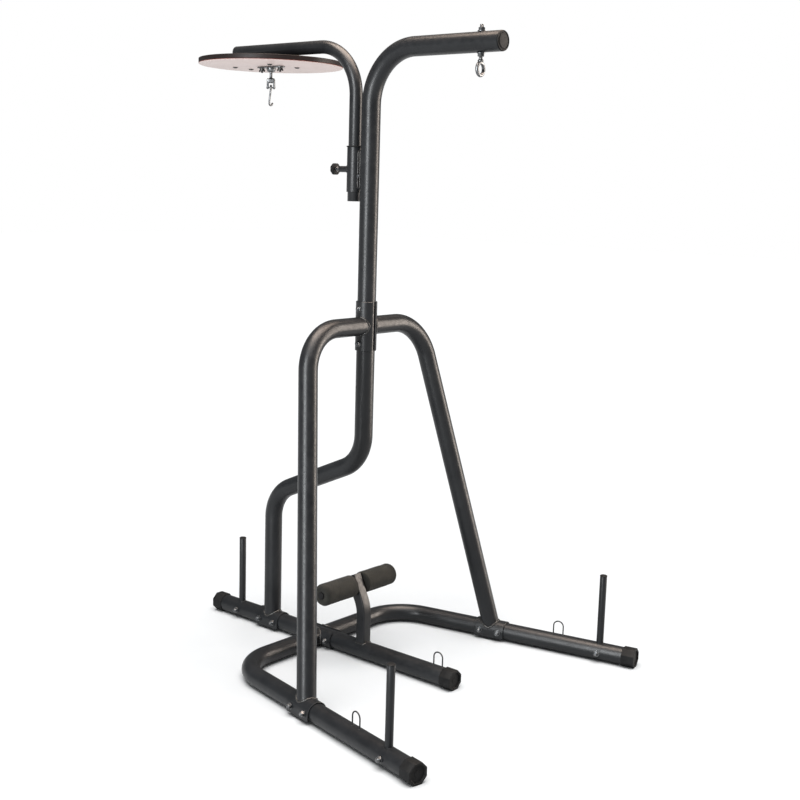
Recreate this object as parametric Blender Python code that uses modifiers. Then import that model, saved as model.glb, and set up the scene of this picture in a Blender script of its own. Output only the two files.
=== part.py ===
"""Two-station boxing stand: heavy-bag arm, speed-bag platform, splayed base.

Metres, +Z up, +X towards the heavy-bag side, mirror-symmetric about Y = 0.
The origin is on the floor, under the middle of the stand's bounding box.
"""
import math

import bmesh
import bpy
from mathutils import Matrix, Vector

# Main frame tube and the base it makes.
TUBE_OD = 0.0635
TUBE_WALL = 0.002
GAP = 0.0003
SPLAY = math.radians(11.6)
CORNER_Y = 0.413
CORNER_BEND = 0.165
LEG_LENGTH = 0.979
CENTRE_REAR = 0.5556
CENTRE_FRONT = 0.6204

# End caps: octagonal shoes that the whole stand rests on.
CAP_FLATS = 0.067
CAP_LENGTH = 0.046
CAP_END_WALL = 0.010
CAP_RECESS = 0.005
CAP_RECESS_FLATS = 0.050

# Uprights.
POST_FORWARD = 0.184
POST_FOOT_BACK = 0.2545
S_BEND_LOW_Z = 0.522
S_BEND_HIGH_Z = 0.717
POST_BEND = 0.140
A_BEND = 0.158
JOINT_Z = 1.188
ARM_Z = 2.1035
ARM_BEND = 0.180
ARM_REACH = 0.524
A_TOP_HALF = 0.2823
A_FOOT_ALONG = 0.420
LINK_LENGTH = 0.300

# Saddles, clamp halves and their bolts.
SADDLE_WALL = 0.004
FOOT_SADDLE_LENGTH = 0.118
FOOT_BOLT_SPREAD = 0.0365
SADDLE_SKIRT = 0.022
CLAMP_LENGTH = 0.168
CLAMP_BOLT_SPREAD = 0.059
CROSS_SADDLE_LENGTH = 0.150
CROSS_BOLT_SPREAD = 0.054
CLAMP_ARC = math.radians(156)
CROSS_ARC = math.radians(124)
BOLT_RADIUS = 0.005
BOLT_FLATS = 0.017
WASHER_RADIUS = 0.0110
WASHER_THICK = 0.0016
HEAD_HEIGHT = 0.0064
NUT_HEIGHT = 0.0095
BOLT_TIP = 0.003

# Weight pegs and band loops.
PEG_OD = 0.0254
PEG_WALL = 0.002
PEG_TOP_Z = 0.317
PEG_ALONG = 0.843
PEG_REAR_BACK = 0.4216
LOOP_ALONG = 0.683
LOOP_FORWARD = 0.545
LOOP_WIRE = 0.0048
LOOP_WIDTH = 0.042
LOOP_HEIGHT = 0.050

# Foam roller on the centre tube.
ROLLER_FORWARD = 0.205
ROLLER_LEAN = 0.037
ROLLER_Z = 0.266
ROLLER_KNEE_Z = 0.190
ROLLER_TOP_Z = 0.296
STRUT_SIZE = 0.038
FOAM_OD = 0.078
FOAM_BORE = 0.0206
FOAM_OUTER_Y = 0.181
FOAM_INNER_Y = 0.027
FOAM_ROUND = 0.012
AXLE_RADIUS = 0.010

# Eye bolt that carries the heavy bag.
EYE_REACH = 0.444
EYE_Z = 2.0226
EYE_RING = 0.0190
EYE_WIRE = 0.0057
EYE_SHANK = 0.006
EYE_TURN = math.radians(5)

# Speed-bag station: sleeve on the post, telescoping arm, round platform.
SLEEVE_BACK = 0.069
SLEEVE_OD = 0.0520
SLEEVE_LOW_Z = 1.637
SLEEVE_HIGH_Z = 1.786
SPEED_OD = 0.0445
SPEED_WALL = 0.002
SPEED_LOW_Z = 1.606
SPEED_Z = 2.1210
SPEED_BEND = 0.165
SPEED_END_BACK = 0.472
BUSHING_R = 0.0287
WEB_THICK = 0.020
LOCK_Z = 1.713
KNOB_OD = 0.040
PLATFORM_BACK = 0.294
PLATFORM_RADIUS = 0.254
PLATFORM_THICK = 0.019
STUD_SPREAD = 0.046
PLATE_THICK = 0.0132
SWIVEL_TURN = math.radians(40)
PIN_Z = -0.0685
FORK_SIZE = (0.029, 0.014, 0.0375)
FORK_SLOT = (0.016, 0.030, 0.030)
FORK_MIDDLE = -0.0550
FORK_SLOT_MIDDLE = -0.0680
PIN_RADIUS = 0.0024
PIN_REACH = 0.0160
SWIVEL_PLATE = 0.004
SWIVEL_END = 0.017
STUD_RADIUS = 0.004
STUD_HOLE = 0.0046

# S-hook on the fork's pin; its lower bend is twisted out of the eye's plane.
HOOK_WIRE = 0.0034
HOOK_EYE = 0.0068
HOOK_BEND = 0.0085
HOOK_DROP = 0.0527
HOOK_TWIST = math.radians(35)

# Facets.
MAIN_SIDES = 16
SMALL_SIDES = 8
BEND_STEP = math.radians(15)

# Places that follow from the dimensions above.
TUBE_R = TUBE_OD / 2
TUBE_Z = CAP_FLATS / 2
FRONT_REACH = LEG_LENGTH * math.cos(SPLAY) + CAP_FLATS / 2 * math.sin(SPLAY)
CROSS_X = (CENTRE_REAR - FRONT_REACH) / 2
POST_X = CROSS_X + POST_FORWARD
SADDLE_IN = TUBE_R / math.cos(math.pi / MAIN_SIDES) + GAP
SADDLE_OUT = SADDLE_IN + SADDLE_WALL
SLEEVE_X = POST_X - SLEEVE_BACK
PLATFORM_X = CROSS_X - PLATFORM_BACK
X_AXIS = Vector((1, 0, 0))
Y_AXIS = Vector((0, 1, 0))
Z_AXIS = Vector((0, 0, 1))

for old in list(bpy.data.objects):
    bpy.data.objects.remove(old)


def new_collection(name):
    collection = bpy.data.collections.new(name)
    bpy.context.scene.collection.children.link(collection)
    return collection


PARTS = new_collection("boxing_stand")
CUTTERS = new_collection("boxing_stand_cutters")


def new_material(name, colour, roughness, metallic):
    material = bpy.data.materials.new(name)
    material.use_nodes = True
    shader = material.node_tree.nodes["Principled BSDF"]
    shader.inputs["Base Color"].default_value = (*colour, 1)
    shader.inputs["Roughness"].default_value = roughness
    shader.inputs["Metallic"].default_value = metallic
    return material


PAINT = new_material("charcoal_powder_coat", (0.030, 0.032, 0.035), 0.42, 0.3)
ZINC = new_material("zinc_plate", (0.62, 0.63, 0.64), 0.28, 1.0)
DARK_STEEL = new_material("dark_steel", (0.05, 0.05, 0.055), 0.4, 1.0)
PLASTIC = new_material("black_plastic", (0.012, 0.012, 0.013), 0.5, 0.0)
FOAM = new_material("black_foam", (0.015, 0.015, 0.014), 0.9, 0.0)
BOARD = new_material("laminated_board", (0.74, 0.64, 0.60), 0.35, 0.0)


# ---------------------------------------------------------------- helpers

def frame(origin, z_axis, y_axis=Z_AXIS):
    """Matrix of a local frame from its origin, its Z and roughly its Y."""
    z = z_axis.normalized()
    x = y_axis.cross(z).normalized()
    y = z.cross(x)
    rotation = Matrix((x, y, z)).transposed().to_4x4()
    return Matrix.Translation(origin) @ rotation


def add_object(name, data, matrix=None, material=None):
    obj = bpy.data.objects.new(name, data)
    PARTS.objects.link(obj)
    if matrix is not None:
        obj.matrix_world = matrix
    if material is not None and not data.materials:
        data.materials.append(material)
    return obj


def make_guide(obj):
    """Move an object from the parts to the cutters, which aren't built."""
    PARTS.objects.unlink(obj)
    CUTTERS.objects.link(obj)
    obj.hide_render = True
    obj.display_type = "WIRE"


def as_mesh(obj, weld=1e-5):
    """Swap an object for the mesh it evaluates to, with its caps welded."""
    bpy.context.view_layer.update()
    evaluated = obj.evaluated_get(bpy.context.evaluated_depsgraph_get())
    mesh = bpy.data.meshes.new_from_object(evaluated)
    shape = bmesh.new()
    shape.from_mesh(mesh)
    bmesh.ops.remove_doubles(shape, verts=shape.verts, dist=weld)
    bmesh.ops.recalc_face_normals(shape, faces=shape.faces)
    shape.to_mesh(mesh)
    shape.free()
    name = obj.name
    matrix = obj.matrix_world.copy()
    bpy.data.objects.remove(obj)
    mesh.name = name
    return add_object(name, mesh, matrix)


def smooth(obj, angle=math.radians(40)):
    obj.data.shade_smooth()
    obj.data.set_sharp_from_angle(angle=angle)
    return obj


def cut(obj, *cutters):
    for cutter in cutters:
        boolean = obj.modifiers.new("cut_" + cutter.name, "BOOLEAN")
        boolean.operation = "DIFFERENCE"
        boolean.solver = "EXACT"
        boolean.object = cutter
        if cutter.name in PARTS.objects:
            make_guide(cutter)
    return obj


def fuse(obj, *others):
    """One body from overlapping pieces."""
    for other in others:
        boolean = obj.modifiers.new("join_" + other.name, "BOOLEAN")
        boolean.operation = "UNION"
        boolean.solver = "EXACT"
        boolean.object = other
    solid = as_mesh(obj)
    for other in others:
        bpy.data.objects.remove(other)
    return solid


def ride_on(parent, *objects):
    """Parent objects without moving them."""
    bpy.context.view_layer.update()
    for obj in objects:
        obj.parent = parent
        obj.matrix_parent_inverse = parent.matrix_world.inverted()


def axis_empty(name, location, turn=0.0):
    empty = bpy.data.objects.new(name, None)
    PARTS.objects.link(empty)
    empty.location = location
    empty.rotation_euler.z = turn
    return empty


def prism(name, matrix, radius, length, sides, material=None, top_radius=None):
    """A capped prism or cone along local Z, centred on its frame."""
    shape = bmesh.new()
    bmesh.ops.create_cone(shape, cap_ends=True, segments=sides, radius1=radius,
                          radius2=radius if top_radius is None else top_radius,
                          depth=length)
    mesh = bpy.data.meshes.new(name)
    shape.to_mesh(mesh)
    shape.free()
    return add_object(name, mesh, matrix, material)


def rod(name, start, end, radius, sides=SMALL_SIDES, material=None):
    """A round bar between two points."""
    start = Vector(start)
    run = Vector(end) - start
    up = X_AXIS if abs(run.normalized().dot(Z_AXIS)) > 0.9 else Z_AXIS
    return prism(name, frame(start + run / 2, run, up), radius, run.length, sides, material)


def block(name, matrix, size, material=None, bevel=0.0):
    shape = bmesh.new()
    bmesh.ops.create_cube(shape, size=1.0)
    bmesh.ops.scale(shape, vec=Vector(size), verts=shape.verts)
    if bevel:
        bmesh.ops.bevel(shape, geom=shape.edges, offset=bevel, segments=2,
                        profile=0.5, affect="EDGES")
    mesh = bpy.data.meshes.new(name)
    shape.to_mesh(mesh)
    shape.free()
    return add_object(name, mesh, matrix, material)


def bent_path(corners, radius):
    """A polyline whose inner corners are rounded to one bend radius."""
    corners = [Vector(corner) for corner in corners]
    points = [corners[0]]
    for before, corner, after in zip(corners, corners[1:], corners[2:]):
        back = (before - corner).normalized()
        onward = (after - corner).normalized()
        half = back.angle(onward) / 2
        centre = corner + (back + onward).normalized() * radius / math.sin(half)
        first = corner + back * radius / math.tan(half) - centre
        last = corner + onward * radius / math.tan(half) - centre
        turn = first.angle(last)
        axis = first.cross(last).normalized()
        steps = max(3, math.ceil(turn / BEND_STEP))
        for step in range(steps + 1):
            points.append(centre + Matrix.Rotation(turn * step / steps, 3, axis) @ first)
    points.append(corners[-1])
    return points


def sweep(name, path, radius, sides, capped, profile=None):
    """A round bar, or a bar of another profile, along a list of points."""
    curve = bpy.data.curves.new(name, "CURVE")
    curve.dimensions = "3D"
    curve.twist_mode = "MINIMUM"
    curve.use_fill_caps = capped
    if profile is None:
        curve.bevel_depth = radius
        curve.bevel_resolution = (sides - 4) // 2
    else:
        curve.bevel_mode = "OBJECT"
        curve.bevel_object = profile
    spline = curve.splines.new("POLY")
    spline.points.add(len(path) - 1)
    for point, place in zip(spline.points, path):
        point.co = (*place, 1)
    return as_mesh(add_object(name, curve))


def tube(name, path, outer_radius, wall, sides, material, profile=None):
    """A hollow tube, open at both ends."""
    shell = sweep(name, path, outer_radius, sides, False, profile)
    shell.data.materials.append(material)
    solidify = shell.modifiers.new("wall", "SOLIDIFY")
    solidify.thickness = wall
    solidify.offset = -1
    solidify.use_even_offset = True
    return smooth(shell)


def wire(name, path, radius, material, sides=6):
    bar = sweep(name, path, radius, sides, True)
    bar.data.materials.append(material)
    return smooth(bar)


def outline(name, points, length, matrix, material=None):
    """A flat outline in local XY, extruded to a length along local Z."""
    curve = bpy.data.curves.new(name, "CURVE")
    curve.dimensions = "2D"
    curve.fill_mode = "BOTH"
    curve.extrude = length / 2
    spline = curve.splines.new("POLY")
    spline.points.add(len(points) - 1)
    for point, place in zip(spline.points, points):
        point.co = (place[0], place[1], 0, 1)
    spline.use_cyclic_u = True
    solid = as_mesh(add_object(name, curve, matrix))
    if material is not None:
        solid.data.materials.append(material)
    return solid


def turned(name, profile, matrix, material, sides=16):
    """A turned solid: (radius, height) down its outside, then up its bore."""
    mesh = bpy.data.meshes.new(name)
    points = [(radius, 0, height) for radius, height in profile]
    closed = min(radius for radius, height in profile) > 0
    edges = [(i, i + 1) for i in range(len(points) - 1)]
    if closed:
        edges.append((len(points) - 1, 0))
    mesh.from_pydata(points, edges, [])
    solid = add_object(name, mesh, matrix, material)
    screw = solid.modifiers.new("turn", "SCREW")
    screw.axis = "Z"
    screw.steps = sides
    screw.render_steps = sides
    screw.use_merge_vertices = True
    screw.merge_threshold = 0.00002
    screw.use_smooth_shade = True
    return solid


def arc(centre, radius, start, end, steps):
    """Points on an arc in the XY plane, ends included."""
    points = []
    for step in range(steps + 1):
        angle = start + (end - start) * step / steps
        points.append((centre[0] + radius * math.cos(angle), centre[1] + radius * math.sin(angle)))
    return points


def leg_point(side, along, z=TUBE_Z):
    """A point on a splayed leg's axis, measured from the base corner."""
    x = CROSS_X + along * math.cos(SPLAY)
    return Vector((x, side * (CORNER_Y + along * math.sin(SPLAY)), z))


def leg_axis(side):
    return Vector((math.cos(SPLAY), side * math.sin(SPLAY), 0))


# ------------------------------------------------------------------ bolts

def bolt_mesh(name, grip):
    """Hex bolt, two washers and a lock nut in one solid along local Z."""
    seat = grip / 2 + GAP
    hex_radius = BOLT_FLATS / 2 / math.cos(math.radians(30))
    head_z = seat + WASHER_THICK + HEAD_HEIGHT / 2
    nut_z = -seat - WASHER_THICK - NUT_HEIGHT / 2
    washer_z = seat + WASHER_THICK / 2
    shank_top = seat + WASHER_THICK
    shank_low = -seat - WASHER_THICK - NUT_HEIGHT - BOLT_TIP
    shank = rod(name, (0, 0, shank_low), (0, 0, shank_top), BOLT_RADIUS, SMALL_SIDES)
    slide = Matrix.Translation
    head = prism("head", slide((0, 0, head_z)), hex_radius, HEAD_HEIGHT + GAP, 6)
    nut = prism("nut", slide((0, 0, nut_z)), hex_radius, NUT_HEIGHT + GAP, 6)
    top_washer = prism("w1", slide((0, 0, washer_z)), WASHER_RADIUS, WASHER_THICK, 12)
    low_washer = prism("w2", slide((0, 0, -washer_z)), WASHER_RADIUS, WASHER_THICK, 12)
    solid = fuse(shank, head, nut, top_washer, low_washer)
    solid.data.materials.clear()
    solid.data.materials.append(ZINC)
    mesh = smooth(solid).data
    mesh.transform(solid.matrix_world)
    bpy.data.objects.remove(solid)
    return mesh


SADDLE_BOLT = bolt_mesh("saddle_bolt", 2 * SADDLE_OUT)
TUBE_BOLT = bolt_mesh("tube_bolt", TUBE_OD)


def place_bolt(name, mesh, centre, nut_side):
    return add_object(name, mesh, frame(Vector(centre), -nut_side))


def hole(name, centre, axis, radius=BOLT_RADIUS + 2 * GAP, reach=0.1, sides=SMALL_SIDES):
    """A cutter for a hole right through, along an axis."""
    centre = Vector(centre)
    return rod(name + "_hole", centre - axis * reach, centre + axis * reach, radius, sides)


# ------------------------------------------------------------------- base

def cope(name, centre, axis, reach=0.3):
    """Cutter that shapes a tube's end to fit round another tube's saddle."""
    return hole(name + "_cope", centre, axis, SADDLE_OUT + GAP, reach, 2 * MAIN_SIDES)


def u_saddle(name, matrix):
    """Foot saddle: a half round over the tube with straight side skirts."""
    inner = arc((0, 0), SADDLE_IN, 0, math.pi, MAIN_SIDES)
    outer = arc((0, 0), SADDLE_OUT, math.pi, 0, MAIN_SIDES)
    points = [(SADDLE_IN, -SADDLE_SKIRT)] + inner + [(-SADDLE_IN, -SADDLE_SKIRT)]
    points += [(-SADDLE_OUT, -SADDLE_SKIRT)] + outer + [(SADDLE_OUT, -SADDLE_SKIRT)]
    return smooth(outline(name, points, FOOT_SADDLE_LENGTH, matrix, PAINT))


def half_shell(name, matrix, length, span):
    """Clamp half: an arc of pipe centred on local +X."""
    inner = arc((0, 0), SADDLE_IN, -span / 2, span / 2, MAIN_SIDES)
    outer = arc((0, 0), SADDLE_OUT, span / 2, -span / 2, MAIN_SIDES)
    return smooth(outline(name, inner + outer, length, matrix, PAINT))


def end_cap(name, face, axis):
    """Octagonal shoe with a bore for the tube and a recessed end face."""
    corner = 1 / math.cos(math.radians(22.5))
    middle = frame(face - axis * CAP_LENGTH / 2, axis)
    turn = Matrix.Rotation(math.radians(22.5), 4, "Z")
    cap = prism(name, middle @ turn, CAP_FLATS / 2 * corner, CAP_LENGTH, 8, PLASTIC)
    bore_end = face - axis * CAP_END_WALL
    bore_start = face - axis * (CAP_LENGTH + 0.01)
    bore = rod(name + "_bore", bore_start, bore_end, SADDLE_IN, 2 * MAIN_SIDES)
    recess_at = frame(face, axis) @ turn
    recess = prism(name + "_recess", recess_at, CAP_RECESS_FLATS / 2 * corner, 2 * CAP_RECESS, 8)
    return cut(cap, bore, recess)


def band_loop(name, foot, axis):
    """Wire staple that stands on the tube, in line with it."""
    base = foot + Z_AXIS * (TUBE_R + GAP)
    side = axis * (LOOP_WIDTH - LOOP_WIRE) / 2
    top = Z_AXIS * (LOOP_HEIGHT - LOOP_WIRE / 2)
    corners = [base - side, base - side + top, base + side + top, base + side]
    path = bent_path(corners, (LOOP_WIDTH - LOOP_WIRE) / 2 * 0.98)
    return wire(name, path, LOOP_WIRE / 2, PAINT)


def weight_peg(name, foot, bolt_axis):
    """Round peg with a closed top that drops into the base tube, and its bolt."""
    height = PEG_TOP_Z - foot.z
    outer = PEG_OD / 2
    bore = outer - PEG_WALL
    profile = [(0, height), (0.010, height), (outer, height - 0.0025), (outer, -0.016),
               (bore, -0.016), (bore, height - 0.016), (0, height - 0.016)]
    peg = turned(name, profile, Matrix.Translation(foot), PAINT, 12)
    cut(peg, hole(name, foot, bolt_axis, reach=0.03))
    place_bolt(name + "_bolt", TUBE_BOLT, foot, bolt_axis)
    return peg


def peg_socket(name, foot):
    """Cutter for the hole in the tube's top wall."""
    top = foot + Z_AXIS * (TUBE_R + 0.01)
    return rod(name + "_socket", foot, top, PEG_OD / 2 + 2 * GAP, 12)


def base_side(side, word):
    """Half crossbar and splayed leg in one bent tube, and what it carries."""
    axis = leg_axis(side)
    across = axis.cross(Z_AXIS)
    foot = leg_point(side, A_FOOT_ALONG)
    peg_foot = leg_point(side, PEG_ALONG)
    corners = [(CROSS_X, side * 0.01, TUBE_Z), leg_point(side, 0),
               leg_point(side, LEG_LENGTH - CAP_END_WALL - GAP)]
    bar = tube("base_leg_" + word, bent_path(corners, CORNER_BEND), TUBE_R, TUBE_WALL,
               MAIN_SIDES, PAINT)
    cut(bar, cope("base_leg_" + word, (CROSS_X, 0, TUBE_Z), X_AXIS, 0.1))
    cut(bar, peg_socket("peg_" + word, peg_foot), hole("peg_tube_" + word, peg_foot, across))
    saddle = u_saddle("a_foot_saddle_" + word, frame(foot, axis))
    for end, shift in (("rear", -FOOT_BOLT_SPREAD), ("front", FOOT_BOLT_SPREAD)):
        name = "a_foot_bolt_" + word + "_" + end
        drill = hole(name, foot + axis * shift, across)
        cut(bar, drill)
        cut(saddle, drill)
        place_bolt(name, SADDLE_BOLT, foot + axis * shift, across)
    weight_peg("weight_peg_" + word, peg_foot, across)
    band_loop("band_loop_" + word, leg_point(side, LOOP_ALONG), axis)
    end_cap("end_cap_" + word, leg_point(side, LEG_LENGTH), axis)
    shell_axis = frame(Vector((CROSS_X, 0, TUBE_Z)), X_AXIS, Z_AXIS * side)
    shell = half_shell("cross_saddle_" + word, shell_axis, CROSS_SADDLE_LENGTH, CROSS_ARC)
    return shell


def centre_tube():
    """Straight tube through the crossbar, with the rear peg and post foot."""
    rear_x = CROSS_X - CENTRE_REAR
    front_x = CROSS_X + CENTRE_FRONT
    inset = CAP_END_WALL + GAP
    ends = [Vector((rear_x + inset, 0, TUBE_Z)), Vector((front_x - inset, 0, TUBE_Z))]
    bar = tube("centre_tube", ends, TUBE_R, TUBE_WALL, MAIN_SIDES, PAINT)
    peg_foot = Vector((CROSS_X - PEG_REAR_BACK, 0, TUBE_Z))
    cut(bar, peg_socket("peg_rear", peg_foot), hole("peg_tube_rear", peg_foot, Y_AXIS))
    weight_peg("weight_peg_rear", peg_foot, -Y_AXIS)
    foot = Vector((CROSS_X - POST_FOOT_BACK, 0, TUBE_Z))
    saddle = u_saddle("post_foot_saddle", frame(foot, X_AXIS))
    for end, shift in (("rear", -FOOT_BOLT_SPREAD), ("front", FOOT_BOLT_SPREAD)):
        drill = hole("post_foot_bolt_" + end, foot + X_AXIS * shift, Y_AXIS)
        cut(bar, drill)
        cut(saddle, drill)
        place_bolt("post_foot_bolt_" + end, SADDLE_BOLT, foot + X_AXIS * shift, -Y_AXIS)
    band_loop("band_loop_centre", Vector((CROSS_X + LOOP_FORWARD, 0, TUBE_Z)), X_AXIS)
    end_cap("end_cap_rear", Vector((rear_x, 0, TUBE_Z)), -X_AXIS)
    end_cap("end_cap_centre", Vector((front_x, 0, TUBE_Z)), X_AXIS)
    return bar


def build_base():
    saddles = [base_side(-1, "near"), base_side(1, "far")]
    bar = centre_tube()
    for end, shift in (("rear", -CROSS_BOLT_SPREAD), ("front", CROSS_BOLT_SPREAD)):
        centre = Vector((CROSS_X + shift, 0, TUBE_Z))
        drill = hole("cross_bolt_" + end, centre, Y_AXIS)
        for piece in (bar, *saddles):
            cut(piece, drill)
        place_bolt("cross_bolt_" + end, SADDLE_BOLT, centre, -Y_AXIS)
    return bar


# --------------------------------------------------------------- uprights

def build_post():
    """S-bent lower post, upper post with the heavy-bag arm, inner link."""
    foot_x = CROSS_X - POST_FOOT_BACK
    low = [(foot_x, 0, TUBE_Z), (foot_x, 0, S_BEND_LOW_Z), (POST_X, 0, S_BEND_HIGH_Z),
           (POST_X, 0, JOINT_Z - GAP)]
    lower = tube("lower_post", bent_path(low, POST_BEND), TUBE_R, TUBE_WALL, MAIN_SIDES, PAINT)
    cut(lower, cope("lower_post", (foot_x, 0, TUBE_Z), X_AXIS, 0.1))
    high = [(POST_X, 0, JOINT_Z + GAP), (POST_X, 0, ARM_Z), (POST_X + ARM_REACH, 0, ARM_Z)]
    upper = tube("upper_post_arm", bent_path(high, ARM_BEND), TUBE_R, TUBE_WALL, MAIN_SIDES, PAINT)
    half = Z_AXIS * LINK_LENGTH / 2
    centre = Vector((POST_X, 0, JOINT_Z))
    link_radius = (TUBE_R - TUBE_WALL) * math.cos(math.pi / MAIN_SIDES) - 2 * GAP
    link = tube("post_link_tube", [centre - half, centre + half], link_radius, TUBE_WALL,
                MAIN_SIDES, ZINC)
    return lower, upper, link


def a_leg(side, word):
    """One side of the A-frame: level top run, bend, long slanted leg."""
    foot = leg_point(side, A_FOOT_ALONG)
    corners = [(POST_X, side * 0.008, JOINT_Z), (POST_X, side * A_TOP_HALF, JOINT_Z), foot]
    leg = tube("a_leg_" + word, bent_path(corners, A_BEND), TUBE_R, TUBE_WALL,
               MAIN_SIDES, PAINT)
    top_cope = hole("a_leg_" + word + "_top", (POST_X, 0, JOINT_Z), Z_AXIS,
                    SADDLE_OUT + GAP, 0.1, 2 * MAIN_SIDES)
    return cut(leg, top_cope, cope("a_leg_" + word, foot, leg_axis(side), 0.12))


def build_uprights():
    lower, upper, link = build_post()
    centre = Vector((POST_X, 0, JOINT_Z))
    shells = []
    for side, word in ((-1, "near"), (1, "far")):
        a_leg(side, word)
        matrix = Matrix.Translation(centre) @ Matrix.Rotation(side * math.pi / 2, 4, "Z")
        shells.append(half_shell("clamp_half_" + word, matrix, CLAMP_LENGTH, CLAMP_ARC))
    for end, shift, post in (("low", -1, lower), ("high", 1, upper)):
        place = centre + Z_AXIS * shift * CLAMP_BOLT_SPREAD
        drill = hole("clamp_bolt_" + end, place, Y_AXIS)
        for piece in (post, link, *shells):
            cut(piece, drill)
        place_bolt("clamp_bolt_" + end, SADDLE_BOLT, place, -Y_AXIS)
    return upper


# --------------------------------------------------------------- eye bolt

def build_eye_bolt(arm):
    x = POST_X + EYE_REACH
    top_z = ARM_Z + TUBE_R + 0.021
    ring_at = frame(Vector((x, 0, EYE_Z)), Matrix.Rotation(EYE_TURN, 3, "Z") @ X_AXIS)
    circle = arc((0, 0), EYE_RING, 0, 2 * math.pi, 16)[:-1]
    ring = bpy.data.curves.new("eye_bolt_ring", "CURVE")
    ring.dimensions = "3D"
    ring.bevel_depth = EYE_WIRE
    ring.bevel_resolution = 2
    spline = ring.splines.new("POLY")
    spline.points.add(len(circle) - 1)
    for point, place in zip(spline.points, circle):
        point.co = (place[0], place[1], 0, 1)
    spline.use_cyclic_u = True
    ring = as_mesh(add_object("eye_bolt", ring, ring_at))
    shank = rod("shank", (x, 0, EYE_Z + EYE_RING), (x, 0, top_z), EYE_SHANK, 16)
    collar = prism("collar", Matrix.Translation((x, 0, EYE_Z + 0.0255)), 0.0095, 0.007, 16,
                   top_radius=0.006)
    bolt = fuse(ring, shank, collar)
    bolt.data.materials.append(ZINC)
    smooth(bolt)
    reach = 0.05
    drill = hole("eye_bolt", (x, 0, ARM_Z), Z_AXIS, EYE_SHANK + 2 * GAP, reach, 16)
    cut(arm, drill)
    nut_radius = 0.019 / 2 / math.cos(math.radians(30))
    bore = EYE_SHANK / math.cos(math.pi / 16) + GAP
    for word, sign in (("top", 1), ("low", -1)):
        seat = ARM_Z + sign * (TUBE_R + GAP)
        washer = prism("washer", Matrix.Translation((x, 0, seat + sign * 0.001)), 0.013, 0.002, 16)
        hexagon = prism("eye_nut_" + word, Matrix.Translation((x, 0, seat + sign * 0.0065)),
                        nut_radius, 0.010, 6)
        nut = fuse(hexagon, washer)
        nut.data.materials.append(ZINC)
        cut(nut, hole("eye_nut_" + word, (x, 0, seat), Z_AXIS, bore, 0.03, 16))
    end = Vector((POST_X + ARM_REACH, 0, ARM_Z))
    plug_radius = (TUBE_R - TUBE_WALL) * math.cos(math.pi / MAIN_SIDES) - 2 * GAP
    profile = [(0, 0.0045), (0.022, 0.0045), (0.024, 0.002), (0.0275, 0.002), (0.0285, 0.0042),
               (0.0308, 0.0034), (0.0310, GAP), (plug_radius, GAP), (plug_radius, -0.018),
               (0, -0.018)]
    turned("arm_end_plug", profile, frame(end, X_AXIS), PLASTIC, MAIN_SIDES)


# ---------------------------------------------------------- speed-bag arm

def build_sleeve():
    """Sleeve on the back of the post, its web plate and the lock barrel."""
    low = Vector((SLEEVE_X, 0, SLEEVE_LOW_Z))
    high = Vector((SLEEVE_X, 0, SLEEVE_HIGH_Z))
    pipe = rod("arm_sleeve", low, high, SLEEVE_OD / 2, 16)
    web_start = SLEEVE_X + SLEEVE_OD / 2 - 0.004
    web_end = POST_X - TUBE_R - GAP
    height = SLEEVE_HIGH_Z - SLEEVE_LOW_Z - 0.02
    web_at = Matrix.Translation(((web_start + web_end) / 2, 0, (low.z + high.z) / 2))
    web = block("web", web_at, (web_end - web_start, WEB_THICK, height))
    face = SLEEVE_X - SLEEVE_OD / 2
    barrel_profile = [(0, 0.040), (0.0105, 0.040), (0.0105, 0.006), (0.013, 0.004),
                      (0.013, -0.003), (0, -0.003)]
    barrel_at = frame(Vector((face, 0, LOCK_Z)), -X_AXIS)
    barrel = as_mesh(turned("barrel", barrel_profile, barrel_at, None, 16))
    sleeve = fuse(pipe, web, barrel)
    sleeve.data.materials.append(PAINT)
    bore = SPEED_OD / 2 / math.cos(math.pi / 16) + 2 * GAP
    cut(smooth(sleeve), hole("sleeve_bore", (low + high) / 2, Z_AXIS, bore, 0.1, 16),
        hole("lock_bore", (SLEEVE_X - 0.06, 0, LOCK_Z), X_AXIS, 0.0056, 0.06))
    inner = SPEED_OD / 2 / math.cos(math.pi / 16) + GAP
    profile = [(BUSHING_R, 0.004), (BUSHING_R, GAP), (inner, GAP), (inner, 0.004)]
    bushing_at = Matrix.Translation((SLEEVE_X, 0, SLEEVE_HIGH_Z))
    bushing = turned("arm_bushing", profile, bushing_at, PLASTIC)
    return bushing, face


def build_lock(face):
    """Clamp screw with a fluted knob; it turns about the X axis."""
    tip = SLEEVE_X - SPEED_OD / 2 - GAP
    knob_face = face - 0.056
    screw = rod("screw", (knob_face - 0.004, 0, LOCK_Z), (tip, 0, LOCK_Z), 0.005)
    lobes = []
    for step in range(32):
        angle = 2 * math.pi * step / 32
        radius = KNOB_OD / 2 - 0.0016 * (1 - math.cos(8 * angle)) / 2
        lobes.append((radius * math.cos(angle), radius * math.sin(angle)))
    knob_at = frame(Vector((knob_face - 0.007, 0, LOCK_Z)), -X_AXIS)
    knob = fuse(outline("lock_knob", lobes, 0.014, knob_at), screw)
    knob.data.materials.append(PLASTIC)
    turning = axis_empty("lock_turn", (knob_face, 0, LOCK_Z))
    ride_on(turning, smooth(knob))


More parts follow.
